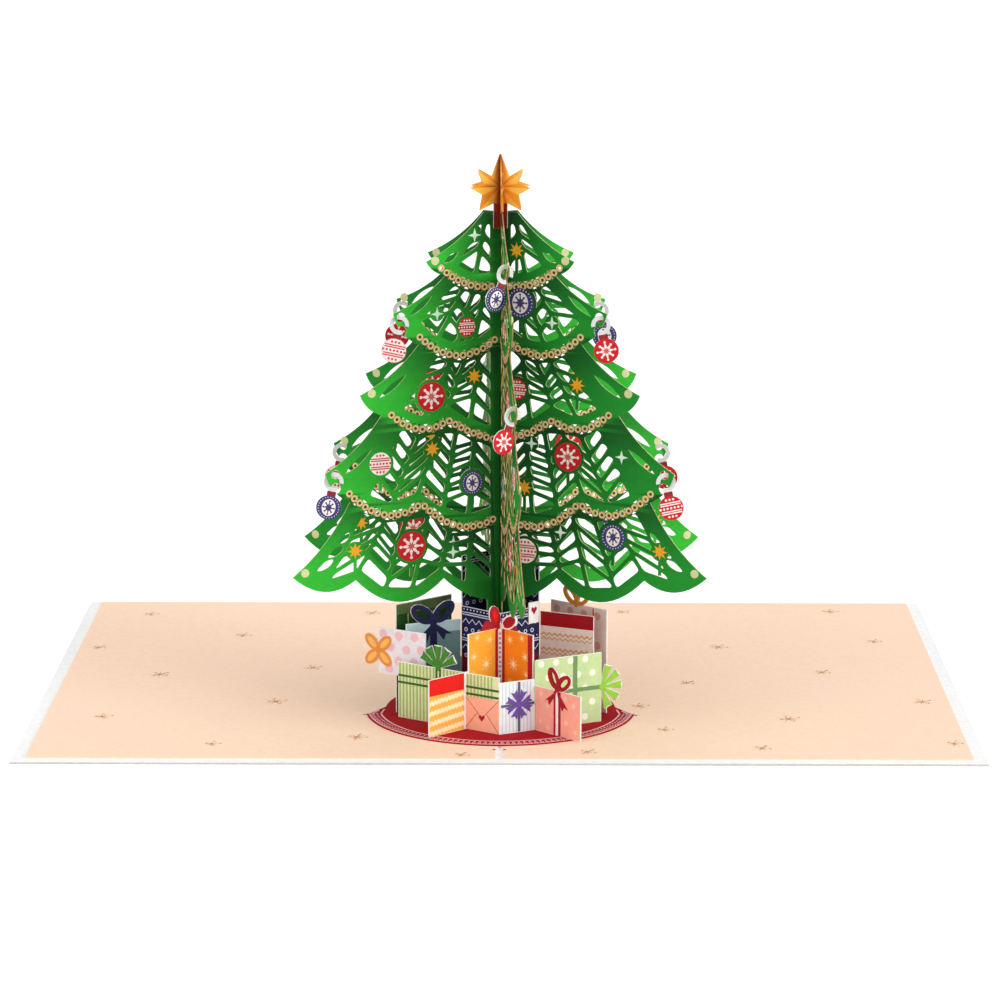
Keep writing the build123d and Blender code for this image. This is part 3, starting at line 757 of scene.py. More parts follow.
# Hanging ornaments: an open grey hook, a dark cap and a printed ball, cut in one from thin card.
# The hook goes through a hole near the branch tip, and the bay below the hole gives it room.
hook_outer, hook_inner = 2.6, 1.5
hook_middle = (hook_outer + hook_inner) / 2
hook_opening, hook_steps = 0.992, 24
hang_radius, hang_drop, hang_rim = 3.3, 7.0, 0.12
ball_y = -hook_middle - hang_drop
cap_y = (ball_y + hang_radius - hook_middle - hook_outer) / 2
cap_half, cap_foot, cap_top, cap_sink = 1.2, 0.7, 0.6, 0.02
side_lean, end_lean, end_turn = 12.0, 25.0, 60.0
right_back, left_back, back = sheet_angles.values()
ornaments = {
    "left_front_high": (right_back + 180, 2, 180, side_lean, "pale"),
    "left_front_low": (right_back + 180, 4, 180, side_lean, "navy"),
    "right_front_high": (left_back + 180, 2, 0, side_lean, "red"),
    "right_front_low": (left_back + 180, 4, 0, side_lean, "knit"),
    "left_back_high": (left_back, 2, 180, side_lean, "red"),
    "left_back_low": (left_back, 4, 180, side_lean, "pale"),
    "right_back_high": (right_back, 2, 0, side_lean, "navy"),
    "right_back_low": (right_back, 4, 0, side_lean, "red"),
    "front_high": (back + 180, 1, back + 180 - end_turn, end_lean, "navy"),
    "front_low": (back + 180, 3, back + 180 - end_turn, end_lean, "red"),
    "back_high": (back, 1, back - end_turn, end_lean, "pale"),
    "back_low": (back, 3, back - end_turn, end_lean, "navy"),
}
hook_grey = paper("hook_grey", (222, 222, 222))
cap_red = paper("cap_red", (150, 40, 44))
white_core = paper("white_core", (250, 248, 244))
rims = {"navy": ball_navy, "pale": motif_rose, "red": ball_red, "knit": ball_red}
cap = bar(-cap_half, cap_half, cap_y - cap_foot, cap_y + cap_top)
for name, (wing_angle, tier, face_angle, lean, kind) in ornaments.items():
    reach, height = on_sheet(*hook_shares[tier])
    wing_turn = radians(wing_angle)
    hole = Vector((reach * cos(wing_turn), axis_y + reach * sin(wing_turn), skirt_top + height))
    out = Vector((cos(radians(face_angle)), sin(radians(face_angle)), 0))
    across = out * cos(radians(lean)) + Vector((0, 0, sin(radians(lean))))
    normal = out.cross(Vector((0, 0, 1)))
    turn = Matrix((across, normal.cross(across), normal)).transposed().to_4x4()
    place = Matrix.Scale(millimetre, 4) @ Matrix.Translation(hole) @ turn
    hook = []
    for radius, steps in ((hook_outer, range(hook_steps + 1)), (hook_inner, range(hook_steps, -1, -1))):
        for step in steps:
            angle = pi + hook_opening + (2 * pi - hook_opening) * step / hook_steps
            hook.append((radius * cos(angle), -hook_middle + radius * sin(angle)))
    base = plate(f"hook_{name}", place, [hook], stock, hook_grey, white_core)
    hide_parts(f"ornament_{name}")
    plate(f"cap_{name}", place, [cap], stock - cap_sink, cap_red, white_core)
    ball = [disc(0, ball_y, hang_radius, 40)]
    plate(f"ball_{name}", place, ball, stock, rims[kind], white_core)
    for index, (material, outlines) in enumerate(ball_layers(kind, 0, ball_y, hang_radius - hang_rim)):
        plate(f"ball_{name}_{index}", place, outlines, stock + print_step * (index + 1), material)

# Presents: strips of white card, folded upright and standing on the mat round the trunk, where two
# of the strips are slotted together. Each print is a thin skin on both faces of its wall.
wall_shares = {
    "striped": ((-0.749, -0.232), (0, -0.717)),
    "pale": ((0, -0.717), (0.741, -0.343)),
    "inner_left": ((0, -0.335), (-0.512, -0.806)),
    "inner_right": ((0, -0.335), (0.586, -0.910)),
    "back_left": ((-0.771, -0.109), (0, 0.553)),
    "back_right": ((0, 0.553), (0.787, -0.120)),
    "blue": ((-0.297, -0.014), (-0.676, -0.185)),
    "chevron": ((0.297, -0.014), (0.689, -0.191)),
    "lilac": ((-0.899, -0.082), (-0.545, -0.292)),
}
walls = {wall: [(x * skirt_radius, y * skirt_radius) for x, y in ends] for wall, ends in wall_shares.items()}
strips = {
    "striped": "present_row_front", "pale": "present_row_front", "inner_left": "present_row_inner",
    "inner_right": "present_row_inner", "back_left": "present_row_back", "back_right": "present_row_back",
    "blue": "present_blue", "chevron": "present_chevron", "lilac": "present_lilac",
}
inset = 0.12
skin_step = 0.05
foot, rim = 0.1, 0.2
loop_long, loop_wide = 5.2, 3.2
loop_step, fill_step, knot_step = 0.3, 0.2, 1.4
knot_radius = 0.9
blade_root, blade_root_half = 0.6, 0.22
blade_length, blade_half = 6.2, 1.3
blade_step, fan_knot_step = 0.2, 1.2
for node in sorted(set(strips.values())):
    dress(node, white_core)


def wall_length(wall):
    (x0, y0), (x1, y1) = walls[wall]
    return hypot(x1 - x0, y1 - y0)


def skin(wall, name, layer, material, outlines):
    """Print on both faces of a wall; a higher layer lies over a lower one."""
    (x0, y0), (x1, y1) = walls[wall]
    place = upright(degrees(atan2(y1 - y0, x1 - x0)), x0, axis_y + y0, skirt_top)
    plate(f"{wall}_{name}", place, outlines, stock + 2 * skin_step * layer, material)


def band(wall, name, layer, material, x0, x1, y0, y1):
    skin(wall, name, layer, material, [bar(x0, x1, y0, y1)])


def turned(points, x, y, angle):
    """Outline turned by an angle and moved to a spot."""
    turn = radians(angle)
    return [(x + u * cos(turn) - v * sin(turn), y + u * sin(turn) + v * cos(turn)) for u, v in points]


def zigzag(x0, x1, y, rise, pitch, width):
    steps = ceil((x1 - x0) / (pitch / 2))
    crest = [(min(x0 + step * pitch / 2, x1), y + (rise if step % 2 else 0)) for step in range(steps + 1)]
    return crest + [(x, level - width) for x, level in reversed(crest)]


def oval(x, y, long, wide, angle, sides=22):
    turns = [2 * pi * step / sides for step in range(sides)]
    return turned([(long / 2 * cos(turn), wide / 2 * sin(turn)) for turn in turns], x, y, angle)


def bow_skin(wall, name, layer, material, x, y, angles, scale, ribbon, fill=None):
    """Loops of a cut bow about its knot, as rings of ribbon or filled with a second colour."""
    long, wide = scale * loop_long, scale * loop_wide
    for index, angle in enumerate(angles):
        middle = (x + long / 2 * cos(radians(angle)), y + long / 2 * sin(radians(angle)))
        outer = oval(*middle, long - 2 * inset, wide - 2 * inset, angle)
        inner = oval(*middle, long - 2 * ribbon, wide - 2 * ribbon, angle)
        skin(wall, f"{name}_loop_{index}", layer + loop_step * index, material, [outer, inner])
        if fill:
            skin(wall, f"{name}_fill_{index}", layer + loop_step * index - fill_step, fill, [inner])
    skin(wall, f"{name}_knot", layer + knot_step, material, [disc(x, y, knot_radius - inset, 16)])


def fan_skin(wall, name, layer, material, x, y, angles):
    """Fan of notched ribbon ends about a knot."""
    end, half = blade_length - inset, blade_half - 1.5 * inset
    blade = (
        (blade_root, blade_root_half), (end, half), (end - 2 * inset, 0), (end, -half),
        (blade_root, -blade_root_half),
    )
    for index, angle in enumerate(angles):
        skin(wall, f"{name}_{index}", layer + blade_step * index, material, [turned(blade, x, y, angle)])
    skin(wall, f"{name}_knot", layer + fan_knot_step, material, [disc(x, y, knot_radius - inset, 16)])


# Front row, left leg: striped present with a fan bow, and an envelope with a small heart printed
# on its corner by the fold.
striped_height = 15.5
stripe_start, stripe_width, stripe_pitch, stripe_foot = 0.4, 0.5, 1.1, 0.15
line_levels, line_half = (11.8, 9.9), 0.28
ribbon_starts, ribbon_width = (12.3, 13.5), 0.5
fan_share = 0.40
envelope_left, envelope_top = 21.9, 9.2
heart_y, heart_size = 3.7, 0.9
lower_flap = (1.6, 1.2)
flap_line_half = 0.11
heart_shares = (
    (0, -1), (1.0, 0.15), (0.95, 0.75), (0.5, 0.95), (0, 0.5), (-0.5, 0.95), (-0.95, 0.75), (-1.0, 0.15),
)
stripe_green = paper("stripe_green", (166, 198, 114))
stripe_cream = paper("stripe_cream", (228, 236, 186))
moss = paper("moss", (62, 96, 44))
leaf_green = paper("leaf_green", (66, 138, 44))
envelope_coral = paper("envelope_coral", (255, 186, 158))
line_coral = paper("line_coral", (206, 112, 92))
heart_red = paper("heart_red", (176, 28, 42))
length = wall_length("striped")
band("striped", "ground", 1, stripe_cream, inset, length - inset, foot, striped_height - inset)
starts = [stripe_start + stripe_pitch * stripe for stripe in range(int((length - 1) / stripe_pitch))]
stripes = [bar(start, start + stripe_width, stripe_foot, striped_height - rim) for start in starts]
skin("striped", "stripes", 2, stripe_green, stripes)
lines = [bar(inset, length - inset, level - line_half, level + line_half) for level in line_levels]
skin("striped", "lines", 3, moss, lines)
ribbons = [bar(start, start + ribbon_width, rim, striped_height - rim) for start in ribbon_starts]
skin("striped", "ribbon", 3.5, moss, ribbons)
fan_skin("striped", "fan", 4, leaf_green, fan_share * length, striped_height, (30, 60, 90, 120, 150))
left, right = envelope_left, length - inset
band("striped", "envelope", 4, envelope_coral, left, right, foot, envelope_top)
heart_x = (left + right) / 2
for index, (x0, y0, x1, y1) in enumerate((
    (left, envelope_top, heart_x, heart_y),
    (right, envelope_top, heart_x, heart_y),
    (left, rim, heart_x - lower_flap[0], heart_y + lower_flap[1]),
    (right, rim, heart_x + lower_flap[0], heart_y + lower_flap[1]),
)):
    run = hypot(x1 - x0, y1 - y0)
    u, v = flap_line_half * (y1 - y0) / run, -flap_line_half * (x1 - x0) / run
    flap_line = [(x0 + u, y0 + v), (x1 + u, y1 + v), (x1 - u, y1 - v), (x0 - u, y0 - v)]
    skin("striped", f"flap_{index}", 4.4 + 0.2 * index, line_coral, [flap_line])
heart = [(heart_x + heart_size * u, heart_y + heart_size * v) for u, v in heart_shares]
skin("striped", "heart", 5.6, heart_red, [heart])

# Front row, right leg: pale present with crossed ribbons and a rosette, and a dotted one with a
# lime fan bow at its open end.
pale_height, pale_share = 14.1, 0.34
gap_half = 0.05
pale_stripes, pale_start, pale_width, pale_pitch = 9, 0.6, 0.25, 1.05
rosette_x, rosette_y, rosette_radius = 5.65, 7.7, 1.0
slate_half, slate_y, slate_start = 0.35, 7.65, 0.3
petal = ((0.4, 0.12), (4.0, 0.98), (3.4, 0), (4.0, -0.98), (0.4, -0.12))
petals, petal_turn = 8, 22.5
dotted_height = 19.2
dot_start, dot_pitch, dot_radius, dot_margin = (1.9, 1.9), (4.4, 4.0), 0.95, 1.2
dotted_ribbon, dotted_cross = (21.9, 23.1), (9.1, 10.2)
lime_fan_y = 9.6
pale_blue = paper("pale_blue", (236, 244, 248))
pale_stripe = paper("pale_stripe", (200, 216, 214))
slate = paper("slate", (92, 96, 122))
purple = paper("purple", (112, 78, 164))
dotted_green = paper("dotted_green", (196, 222, 160))
dot_white = paper("dot_white", (246, 248, 226))
mid_green = paper("mid_green", (112, 152, 98))
lime = paper("lime", (146, 200, 62))


def dot_rows(start, pitch, rows, columns, end, radius):
    """Rows of dots, every other one shifted by half a pitch, up to the end of the wall."""
    dots = []
    for row in range(rows):
        for column in range(columns):
            x, y = start[0] + pitch[0] * column + (pitch[0] / 2 if row % 2 else 0), start[1] + pitch[1] * row
            if x < end:
                dots.append(disc(x, y, radius, 16))
    return dots


length = wall_length("pale")
pale_end = pale_share * length
band("pale", "ground", 1, pale_blue, inset, pale_end - gap_half, foot, pale_height - inset)
starts = [pale_start + pale_pitch * stripe for stripe in range(pale_stripes)]
stripes = [bar(start, start + pale_width, rim, pale_height - 1.5 * rim) for start in starts]
skin("pale", "stripes", 2, pale_stripe, stripes)
band("pale", "ribbon", 3, slate, rosette_x - slate_half, rosette_x + slate_half, rim, pale_height - rim)
slate_cross = (slate_y - slate_half, slate_y + slate_half)
band("pale", "cross_ribbon", 3.4, slate, slate_start, pale_end - rim, *slate_cross)
for index in range(petals):
    outline = turned(petal, rosette_x, rosette_y, petal_turn + 360 / petals * index)
    skin("pale", f"rosette_{index}", 4 + 0.1 * index, purple, [outline])
skin("pale", "rosette_middle", 5.2, purple, [disc(rosette_x, rosette_y, rosette_radius, 16)])
left, right = pale_end + gap_half, length - inset
band("pale", "dotted_ground", 1, dotted_green, left, right, foot, dotted_height - inset)
first_dot = (pale_end + dot_start[0], dot_start[1])
dots = dot_rows(first_dot, dot_pitch, 5, 5, length - dot_margin, dot_radius)
skin("pale", "dots", 2, dot_white, dots)
band("pale", "dotted_ribbon", 3, mid_green, *dotted_ribbon, rim, dotted_height - rim)
band("pale", "dotted_cross", 3.4, mid_green, pale_end + rim, length - rim, *dotted_cross)
fan_skin("pale", "fan", 4, lime, length, lime_fan_y, (-70, -35, 0, 35, 70))

# Inner row: orange present printed with snowflakes, with a dashed strip and a red ribbon along
# its fold, a cut bow with tails on top of the fold, and a low slab on each side.
inner_height, inner_fold = 25.9, 1.0
inner_ends = {"inner_left": 11.3, "inner_right": 12.3}
snow_spots = (
    (3.9, 23.2, 1.5), (8.4, 24.4, 1.3), (9.6, 19.4, 1.6), (5.2, 16.6, 2.2), (10.0, 14.6, 1.3),
    (4.2, 11.6, 1.4), (8.4, 8.4, 1.9), (4.4, 4.6, 1.4),
)
snow_star = (8, 0.2)
dash_left, dash_right, dash_foot, dash_length, dash_pitch, dashes = 0.42, 0.62, 0.6, 0.6, 1.3, 19
red_end, edge_ribbon_start = 1.9, 10.7
bow_x, bow_rise, bow_scale = 0.9, 0.45, 1.2
bow_tails = {
    "inner_left": ((1.0, 0), (7.0, 0), (5.2, 2.7), (1.0, 1.4)),
    "inner_right": ((1.0, 0), (6.6, 0), (5.6, 1.7), (3.0, 2.4), (1.0, 1.4)),
}
left_slab, left_slab_height, left_slab_band = (13.1, 25.5), 15.7, 11.1
wave_left, wave_right, wave_foot, wave_pitch, waves = 13.2, 25.3, 0.9, 2.75, 4
wave_line = {"rise": 0.45, "pitch": 1.2, "width": 1.25}
wave_slope, wave_lift, wave_top = 0.09, 0.3, 11.0
right_slab, right_slab_height = (13.5, 30.1), 12.3
slab_spots = (
    (15.4, 3.0), (18.0, 7.6), (15.6, 10.4), (24.9, 4.2), (27.6, 9.2), (28.2, 2.2), (24.6, 10.6), (18.2, 1.6),
)
slab_spot_radius, slab_spot = 0.9, (8, 0.5)
slab_knot = (21.6, 12.75)
slab_ribbon_half, slab_line_half = 1.25, 0.45
slab_tails = (
    ((0, 12.4), (-4.2, 9.2), (-3.2, 9.3), (-3.0, 8.0), (-0.4, 11.2)),
    ((0, 12.4), (3.9, 7.8), (2.6, 8.3), (1.9, 7.2), (0.3, 11.0)),
)
orange_light = paper("orange_light", (250, 172, 52))
orange_deep = paper("orange_deep", (255, 136, 24))
snow_cream = paper("snow_cream", (255, 226, 168))
ribbon_red = paper("ribbon_red", (172, 22, 34))
bright_red = paper("bright_red", (226, 24, 18))
strip_white = paper("strip_white", (250, 244, 240))
slab_orange = paper("slab_orange", (246, 178, 84))
slab_cream = paper("slab_cream", (255, 232, 180))
coral = paper("coral", (255, 172, 152))
coral_pale = paper("coral_pale", (255, 200, 184))


def tail_skins(wall, name, layer, material, x, tails):
    """Cut ribbon tails that fall from a knot."""
    for index, tail in enumerate(tails):
        skin(wall, f"{name}_{index}", layer + 0.5 * index, material, [[(x + u, y) for u, y in tail]])


top = inner_height - rim
for wall, ground in (("inner_left", orange_light), ("inner_right", orange_deep)):
    band(wall, "ground", 1, ground, foot, inner_ends[wall], foot, inner_height - inset)
    skin(wall, "snow", 2, snow_cream, [burst(x, y, radius, *snow_star) for x, y, radius in snow_spots])
    band(wall, "strip", 3, strip_white, foot, inner_fold, foot, top)
    starts = [dash_foot + dash_pitch * dash for dash in range(dashes)]
    marks = [bar(dash_left, dash_right, start, start + dash_length) for start in starts]
    skin(wall, "dashes", 4, ribbon_red, marks)
    band(wall, "ribbon", 3, ribbon_red, inner_fold, red_end, foot, top)
band("inner_right", "edge_ribbon", 3, ribbon_red, edge_ribbon_start, inner_ends["inner_right"], foot, top)
bow_y = inner_height + bow_rise
bow_skin("inner_left", "bow", 2, ribbon_red, bow_x, bow_y, (70,), bow_scale, ribbon=1.3, fill=bright_red)
bow_skin("inner_right", "bow", 2, strip_white, bow_x, bow_y, (30,), bow_scale, ribbon=0.5, fill=ribbon_red)
for wall, tail in bow_tails.items():
    skin(wall, "bow_tail", 1, ribbon_red, [[(x, inner_height + y) for x, y in tail]])
left, right = left_slab[0], left_slab[1] - inset
band("inner_left", "slab", 1, slab_orange, left, right, foot, left_slab_band)
band("inner_left", "slab_band", 1, bright_red, left, right, left_slab_band, left_slab_height - inset)
slants = []
for index in range(waves):
    slant = []
    for x, y in zigzag(wave_left, wave_right, wave_foot + wave_pitch * index, **wave_line):
        slant.append((x, max(foot, min(y + wave_slope * (wave_right - x) + wave_lift, wave_top))))
    slants.append(slant)
skin("inner_left", "slab_stripes", 2, slab_cream, slants)
band("inner_right", "slab", 1, coral, right_slab[0], right_slab[1] - inset, foot, right_slab_height - inset)
spots = [burst(x, y, slab_spot_radius, *slab_spot) for x, y in slab_spots]
skin("inner_right", "slab_spots", 2, coral_pale, spots)
for name, layer, material, half in (
    ("slab_ribbon", 3, ribbon_red, slab_ribbon_half), ("slab_ribbon_middle", 4, strip_white, slab_line_half),
):
    left, right = slab_knot[0] - half, slab_knot[0] + half
    band("inner_right", name, layer, material, left, right, foot, right_slab_height - rim)
bow_skin("inner_right", "slab_bow", 5, ribbon_red, *slab_knot, (40, 115), bow_scale, ribbon=1.15)
tail_skins("inner_right", "slab_tail", 5, ribbon_red, slab_knot[0], slab_tails)

# Back row: dark green present with an olive lid, and a pink-grey one with dots and an orange bow,
# joined by a low wall behind the pot.
low_height = 12.0
lid_share, lid_foot, lid_height = 0.52, 27.2, 30.1
polka_height, polka_share = 28.8, 0.48
polka_start, polka_pitch, polka_radius, polka_margin = (2.2, 2.0), (4.8, 4.1), 1.1, 1.5
green_line, rose_line = (3.9, 4.3), (33.1, 33.5)
polka_bow_share = 0.72
dark_green = paper("dark_green", (46, 96, 38))
olive = paper("olive", (112, 132, 80))
pale_line = paper("pale_line", (190, 204, 150))
polka_ground = paper("polka_ground", (255, 232, 226))
polka_dot = paper("polka_dot", (240, 176, 170))
bow_orange = paper("bow_orange", (234, 148, 62))
length = wall_length("back_left")
lid_end = lid_share * length
band("back_left", "ground", 1, dark_green, inset, lid_end - inset, foot, lid_foot)
band("back_left", "lid", 1, olive, inset, lid_end - inset, lid_foot, lid_height - inset)
band("back_left", "line", 2, pale_line, *green_line, rim, lid_foot - rim)
band("back_left", "low", 1, dark_green, lid_end, length - inset, foot, low_height - inset)
length = wall_length("back_right")
polka_x = polka_share * length
band("back_right", "low", 1, polka_ground, inset, polka_x, foot, low_height - inset)
band("back_right", "ground", 1, polka_ground, polka_x + inset, length - inset, foot, polka_height - inset)
first_dot = (polka_x + polka_start[0], polka_start[1])
dots = dot_rows(first_dot, polka_pitch, 7, 4, length - polka_margin, polka_radius)
skin("back_right", "dots", 2, polka_dot, dots)
band("back_right", "line", 3, motif_rose, *rose_line, rim, polka_height - 1.5 * rim)
polka_bow_x = polka_bow_share * length
bow_skin("back_right", "bow", 4, bow_orange, polka_bow_x, polka_height, (45, 135), bow_scale, ribbon=1.2)

# Single presents, each an upright wall of its own, cut from white card: blue with a navy bow,
# chevron with a dark red lid, and lilac with dots and an orange bow.
blue_length, blue_lid, blue_height = 16.0, 22.3, 25.4
navy_half = 1.0
navy_tails = (
    ((0, 25.2), (-5.4, 21.6), (-3.6, 21.7), (-3.0, 20.0), (-0.3, 23.6)),
    ((0, 25.2), (4.2, 21.4), (2.8, 21.5), (2.0, 19.8), (0.3, 23.6)),
)
chevron_lid, chevron_height = 23.7, 27.7
chevron_lines = ((21.4, 0.5), (20.1, 0.35), (17.2, 0.5), (15.9, 0.35), (12.6, 0.5), (8.4, 0.5), (4.2, 0.5))
chevron_end, chevron_rise, chevron_pitch = 0.3, 0.7, 1.6
blue_bow_scale, lilac_bow_scale = 1.5, 1.1
lilac_foot, lilac_height = 10.9, 23.7
lilac_spots = (
    (1.6, 22.0), (6.6, 21.9), (11.6, 22.2), (4.0, 18.6), (9.0, 18.4), (13.6, 18.8), (6.4, 15.0), (11.4, 15.2),
    (3.4, 12.6), (9.2, 12.4), (13.9, 12.8),
)
lilac_dot_radius, lilac_bow_y = 1.25, 17.3
grey_blue = paper("grey_blue", (118, 152, 158))
grey_blue_lid = paper("grey_blue_lid", (190, 218, 224))
navy_bow = paper("navy_bow", (34, 34, 76))
sand = paper("sand", (255, 232, 222))
lid_red = paper("lid_red", (172, 12, 22))
tan = paper("tan", (232, 172, 110))
lilac_ground = paper("lilac_ground", (242, 234, 242))
lilac_dot = paper("lilac_dot", (244, 198, 204))
bow_amber = paper("bow_amber", (252, 190, 104))
right, middle = blue_length - inset, blue_length / 2
band("blue", "ground", 1, grey_blue, inset, right, foot, blue_lid)
band("blue", "lid", 1, grey_blue_lid, inset, right, blue_lid, blue_height - inset)
band("blue", "ribbon", 2, navy_bow, middle - navy_half, middle + navy_half, rim, blue_height - rim)
bow_skin("blue", "bow", 3, navy_bow, middle, blue_height, (35, 140), blue_bow_scale, ribbon=1.5)
tail_skins("blue", "tail", 3, navy_bow, middle, navy_tails)
length = wall_length("chevron")
band("chevron", "ground", 1, sand, inset, length - inset, foot, chevron_lid)
band("chevron", "lid", 1, lid_red, inset, length - inset, chevron_lid, chevron_height - inset)
for index, (y, width) in enumerate(chevron_lines):
    line = zigzag(chevron_end, length - chevron_end, y, chevron_rise, chevron_pitch, width)
    skin("chevron", f"zigzag_{index}", 2, tan, [line])
length = wall_length("lilac")
band("lilac", "ground", 1, lilac_ground, inset, length - inset, lilac_foot + inset, lilac_height - inset)
skin("lilac", "dots", 2, lilac_dot, [disc(x, y, lilac_dot_radius, 18) for x, y in lilac_spots])
bow_skin("lilac", "bow", 3, bow_orange, 0, lilac_bow_y, (45, 135, 225, 315), lilac_bow_scale, ribbon=0.95,
         fill=bow_amber)

# Pot: one strip folded into four walls round the trunk, navy over maroon, with knitted rows in
# white. A pale tag with a red heart hangs at the right end of its front.
pot_half_width, pot_half_depth = 10.4, 9.0
pot_front_height, pot_back_height = 28.9, 42.9
pot_band, knit_foot = 16.0, 17
pot_edge = 0.05
knit_drops = (3.4, 10.6, 20.0)
knit_lines, knit_line_width = (1.1, 1.7), 0.25
small_dots, small_start, small_pitch, small_rise, small_radius = 11, 0.9, 1.2, 2.7, 0.22
knit_margin, knit_drop, knit_line = 0.3, 1.0, {"rise": 1.3, "pitch": 2.4, "width": 0.3}
large_dots, large_start, large_pitch, large_drop, large_radii = 5, 1.6, 2.4, 2.9, ((0.62, 10), (0.36, 8))
tag_half, tag_lift, heart_lift = 1.8, 0.33, 28.0
tag_heart_size, tag_heart_depth = (0.95, 1.1), 0.34
pot_navy = paper("pot_navy", (36, 32, 76))
pot_maroon = paper("pot_maroon", (120, 18, 40))
pot_white = paper("pot_white", (224, 224, 240))


def knitted(length, top):
    """Knitted rows of one wall, from its rim down to the maroon band."""
    knit = []
    for base in (top - drop for drop in knit_drops if top - drop >= knit_foot):
        knit += [bar(rim, length - rim, base + line, base + line + knit_line_width) for line in knit_lines]
        for dot in range(small_dots):
            knit.append(disc(small_start + small_pitch * dot, base + small_rise, small_radius, 6))
        knit.append(zigzag(knit_margin, length - knit_margin, base - knit_drop, **knit_line))
        for radius, sides in large_radii:
            for dot in range(large_dots):
                knit.append(disc(large_start + large_pitch * dot, base - large_drop, radius, sides))
    return knit


dress("pot", white_core)
dress("pot_tag", white_core)
pot_rows = (("front", -pot_half_depth, pot_front_height), ("back", pot_half_depth, pot_back_height))
for row, depth, top in pot_rows:
    fold = (0, depth)
    for side_name, ends in (("left", ((-pot_half_width, 0), fold)), ("right", (fold, (pot_half_width, 0)))):
        wall = f"pot_{row}_{side_name}"
        walls[wall] = ends
        strips[wall] = "pot"
        length = wall_length(wall)
        band(wall, "upper", 1, pot_navy, pot_edge, length - pot_edge, pot_band, top - inset)
        band(wall, "lower", 1, pot_maroon, pot_edge, length - pot_edge, foot, pot_band)
        skin(wall, "knit", 2, pot_white, knitted(length, top))
tag_place = upright(degrees(atan2(pot_half_depth, pot_half_width)), 0, axis_y - pot_half_depth, skirt_top)
tag_place = tag_place @ Matrix.Translation((0, 0, tag_lift))
tag_x = hypot(pot_half_width, pot_half_depth) - stock - tag_half
tag_heart = [(tag_x + tag_heart_size[0] * u, heart_lift + tag_heart_size[1] * v) for u, v in heart_shares]
plate("tag_heart", tag_place, [tag_heart], tag_heart_depth, heart_red)

# Star: three small sheets of orange card on the tip of the tree, each on a tongue in the crown of
# a tree sheet. They are printed in facets that turn from amber to orange. Painted shade darkens them
# at the axis, most on the near halves of the left front and front sheets, in the front sheet's shadow.
star_reach, star_height = 8.7, 15.2
star_shares = (
    (0.0, 1.0), (0.30, 0.60), (0.75, 0.72), (0.60, 0.51), (1.0, 0.43), (0.60, 0.30), (0.70, 0.035),
    (0.25, 0.14),
)
foot_share, centre_share = 0.14, 0.43
facet_shares = (0.35, 0.7, 1.0)
facet_start, axis_gap = 0.18, 0.02
shade_start, shade_run = 0.5, 2.4
tongue_start, tongue_half, tongue_drop = 0.2, 1.95, 4.45
facet_depth, tongue_depth = stock + 0.06, stock + 0.04
# Deep colours paint the shade at the axis; the second, darker pair paints the shadow of the front sheet.
star_amber = paper("star_amber", (255, 204, 92), deep=(240, 134, 36))
star_orange = paper("star_orange", (250, 166, 44), deep=(218, 96, 14))
star_ember = paper("star_ember", (255, 194, 76), deep=(132, 12, 2))
star_flame = paper("star_flame", (246, 150, 36), deep=(112, 6, 2))
star_foot = paper("star_foot", (140, 34, 20))
star_edge = paper("star_edge", (160, 120, 88))


# Painted shade: deep at the axis, full colour a little way out.
def star_shade(x, y):
    return min(1.0, max(0.0, (abs(x) - shade_start) / shade_run))


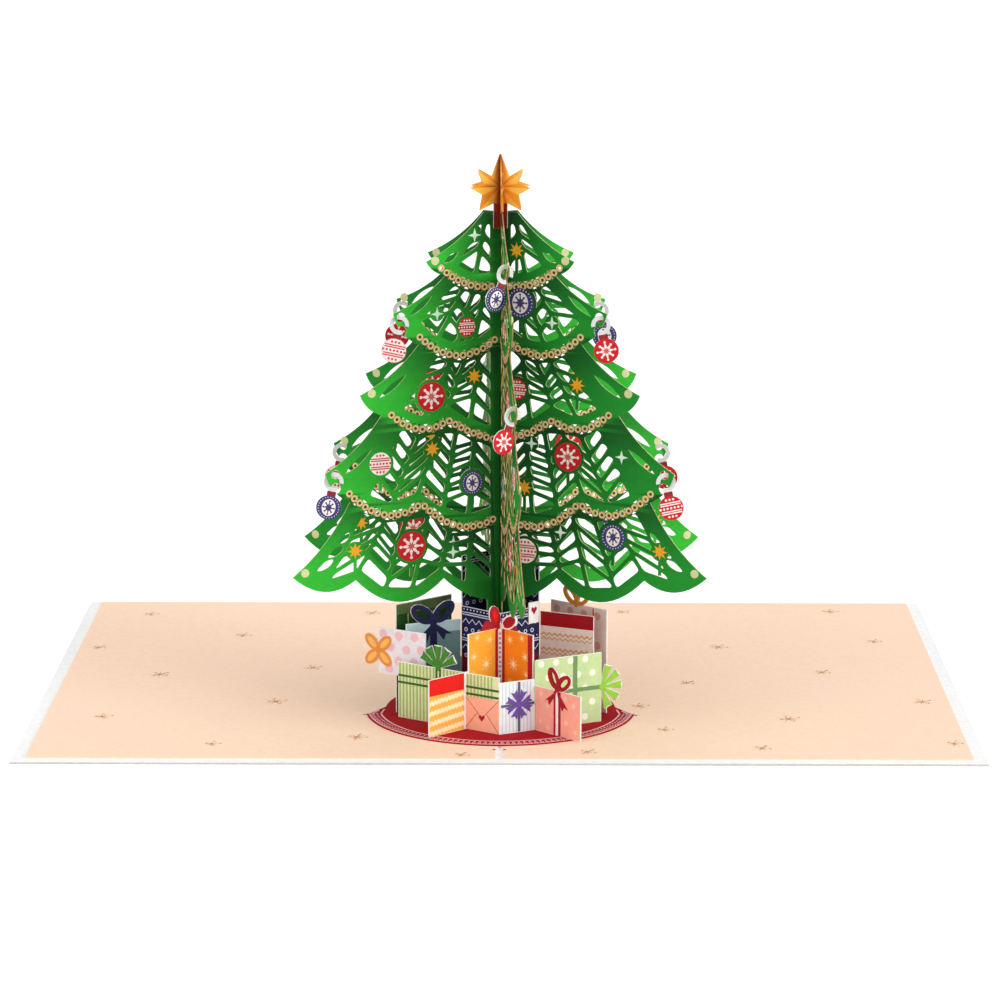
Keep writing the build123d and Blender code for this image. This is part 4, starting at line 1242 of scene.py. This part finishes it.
half = [(x * star_reach, y * star_height) for x, y in star_shares] + [(axis_gap, foot_share * star_height)]
centre = centre_share * star_height
for name, angle in sheet_angles.items():
    place = upright(angle, 0, axis_y, skirt_top + tree_height)
    dress(f"star_sheet_{name}", star_edge)
    for side, half_name in ((-1, "near"), (1, "far")):
        shaded = side < 0 and name != "right_front"
        pair = (star_ember, star_flame) if shaded else (star_amber, star_orange)
        label = f"star_{name}_{half_name}"
        for start, material in enumerate(pair):
            facets = []
            for first, second in list(zip(half, half[1:]))[start::2]:
                spread = [(facet_start, centre)]
                for (x, y), reaches in ((first, facet_shares), (second, reversed(facet_shares))):
                    for reach in reaches:
                        run = max(x, facet_start) - facet_start
                        spread.append((facet_start + reach * run, centre + reach * (y - centre)))
                facets.append([(side * x, y) for x, y in spread])
            plate(f"{label}_{start}", place, facets, facet_depth, material, shade=star_shade)
        corners = bar(tongue_start, tongue_half, -tongue_drop, foot_share * star_height)
        tongue = [(side * x, y) for x, y in corners]
        plate(f"{label}_tongue", place, [tongue], tongue_depth, star_foot)

# Studio: a pale sweep under a soft key, fill and top light. The sweep keeps the shadow of the
# card, and only the camera and reflections see the glow that turns it white.
world_strength = 0.50
suns = (
    ("key", 1.7, 35, (0.80, -0.52, 0.27)),
    ("fill", 0.9, 60, (-0.70, -0.60, 0.35)),
    ("top", 1.1, 80, (0.05, -0.15, 1.0)),
)
sweep_corners = [(-4, -3, 0), (4, -3, 0), (4, 5, 0), (-4, 5, 0)]
sweep_glow = 0.55
world = bpy.data.worlds.new("studio")
scene.world = world
world.use_nodes = True
world.node_tree.nodes["Background"].inputs["Color"].default_value = (1, 1, 1, 1)
world.node_tree.nodes["Background"].inputs["Strength"].default_value = world_strength
for name, power, spread, direction in suns:
    sun = bpy.data.lights.new(name, "SUN")
    sun.energy = power
    sun.angle = radians(spread)
    light = bpy.data.objects.new(name, sun)
    light.rotation_euler = Vector(direction).to_track_quat("Z", "Y").to_euler()
    scene.collection.objects.link(light)
floor_white = paper("floor_white", (206, 206, 206), mottle=0.0, grain=0.0)
nodes, links = floor_white.node_tree.nodes, floor_white.node_tree.links
rays = nodes.new("ShaderNodeLightPath")
seen = nodes.new("ShaderNodeMath")
seen.operation = "ADD"
links.new(rays.outputs["Is Camera Ray"], seen.inputs[0])
links.new(rays.outputs["Is Glossy Ray"], seen.inputs[1])
glow = nodes.new("ShaderNodeMath")
glow.operation = "MULTIPLY"
glow.inputs[1].default_value = sweep_glow
links.new(seen.outputs["Value"], glow.inputs[0])
shader = nodes["Principled BSDF"]
shader.inputs["Emission Color"].default_value = (1, 1, 1, 1)
links.new(glow.outputs["Value"], shader.inputs["Emission Strength"])
sweep_mesh = bpy.data.meshes.new("floor")
sweep_mesh.from_pydata(sweep_corners, [], [(0, 1, 2, 3)])
sweep_mesh.materials.append(floor_white)
sweep = bpy.data.objects.new("floor", sweep_mesh)
scene.collection.objects.link(sweep)
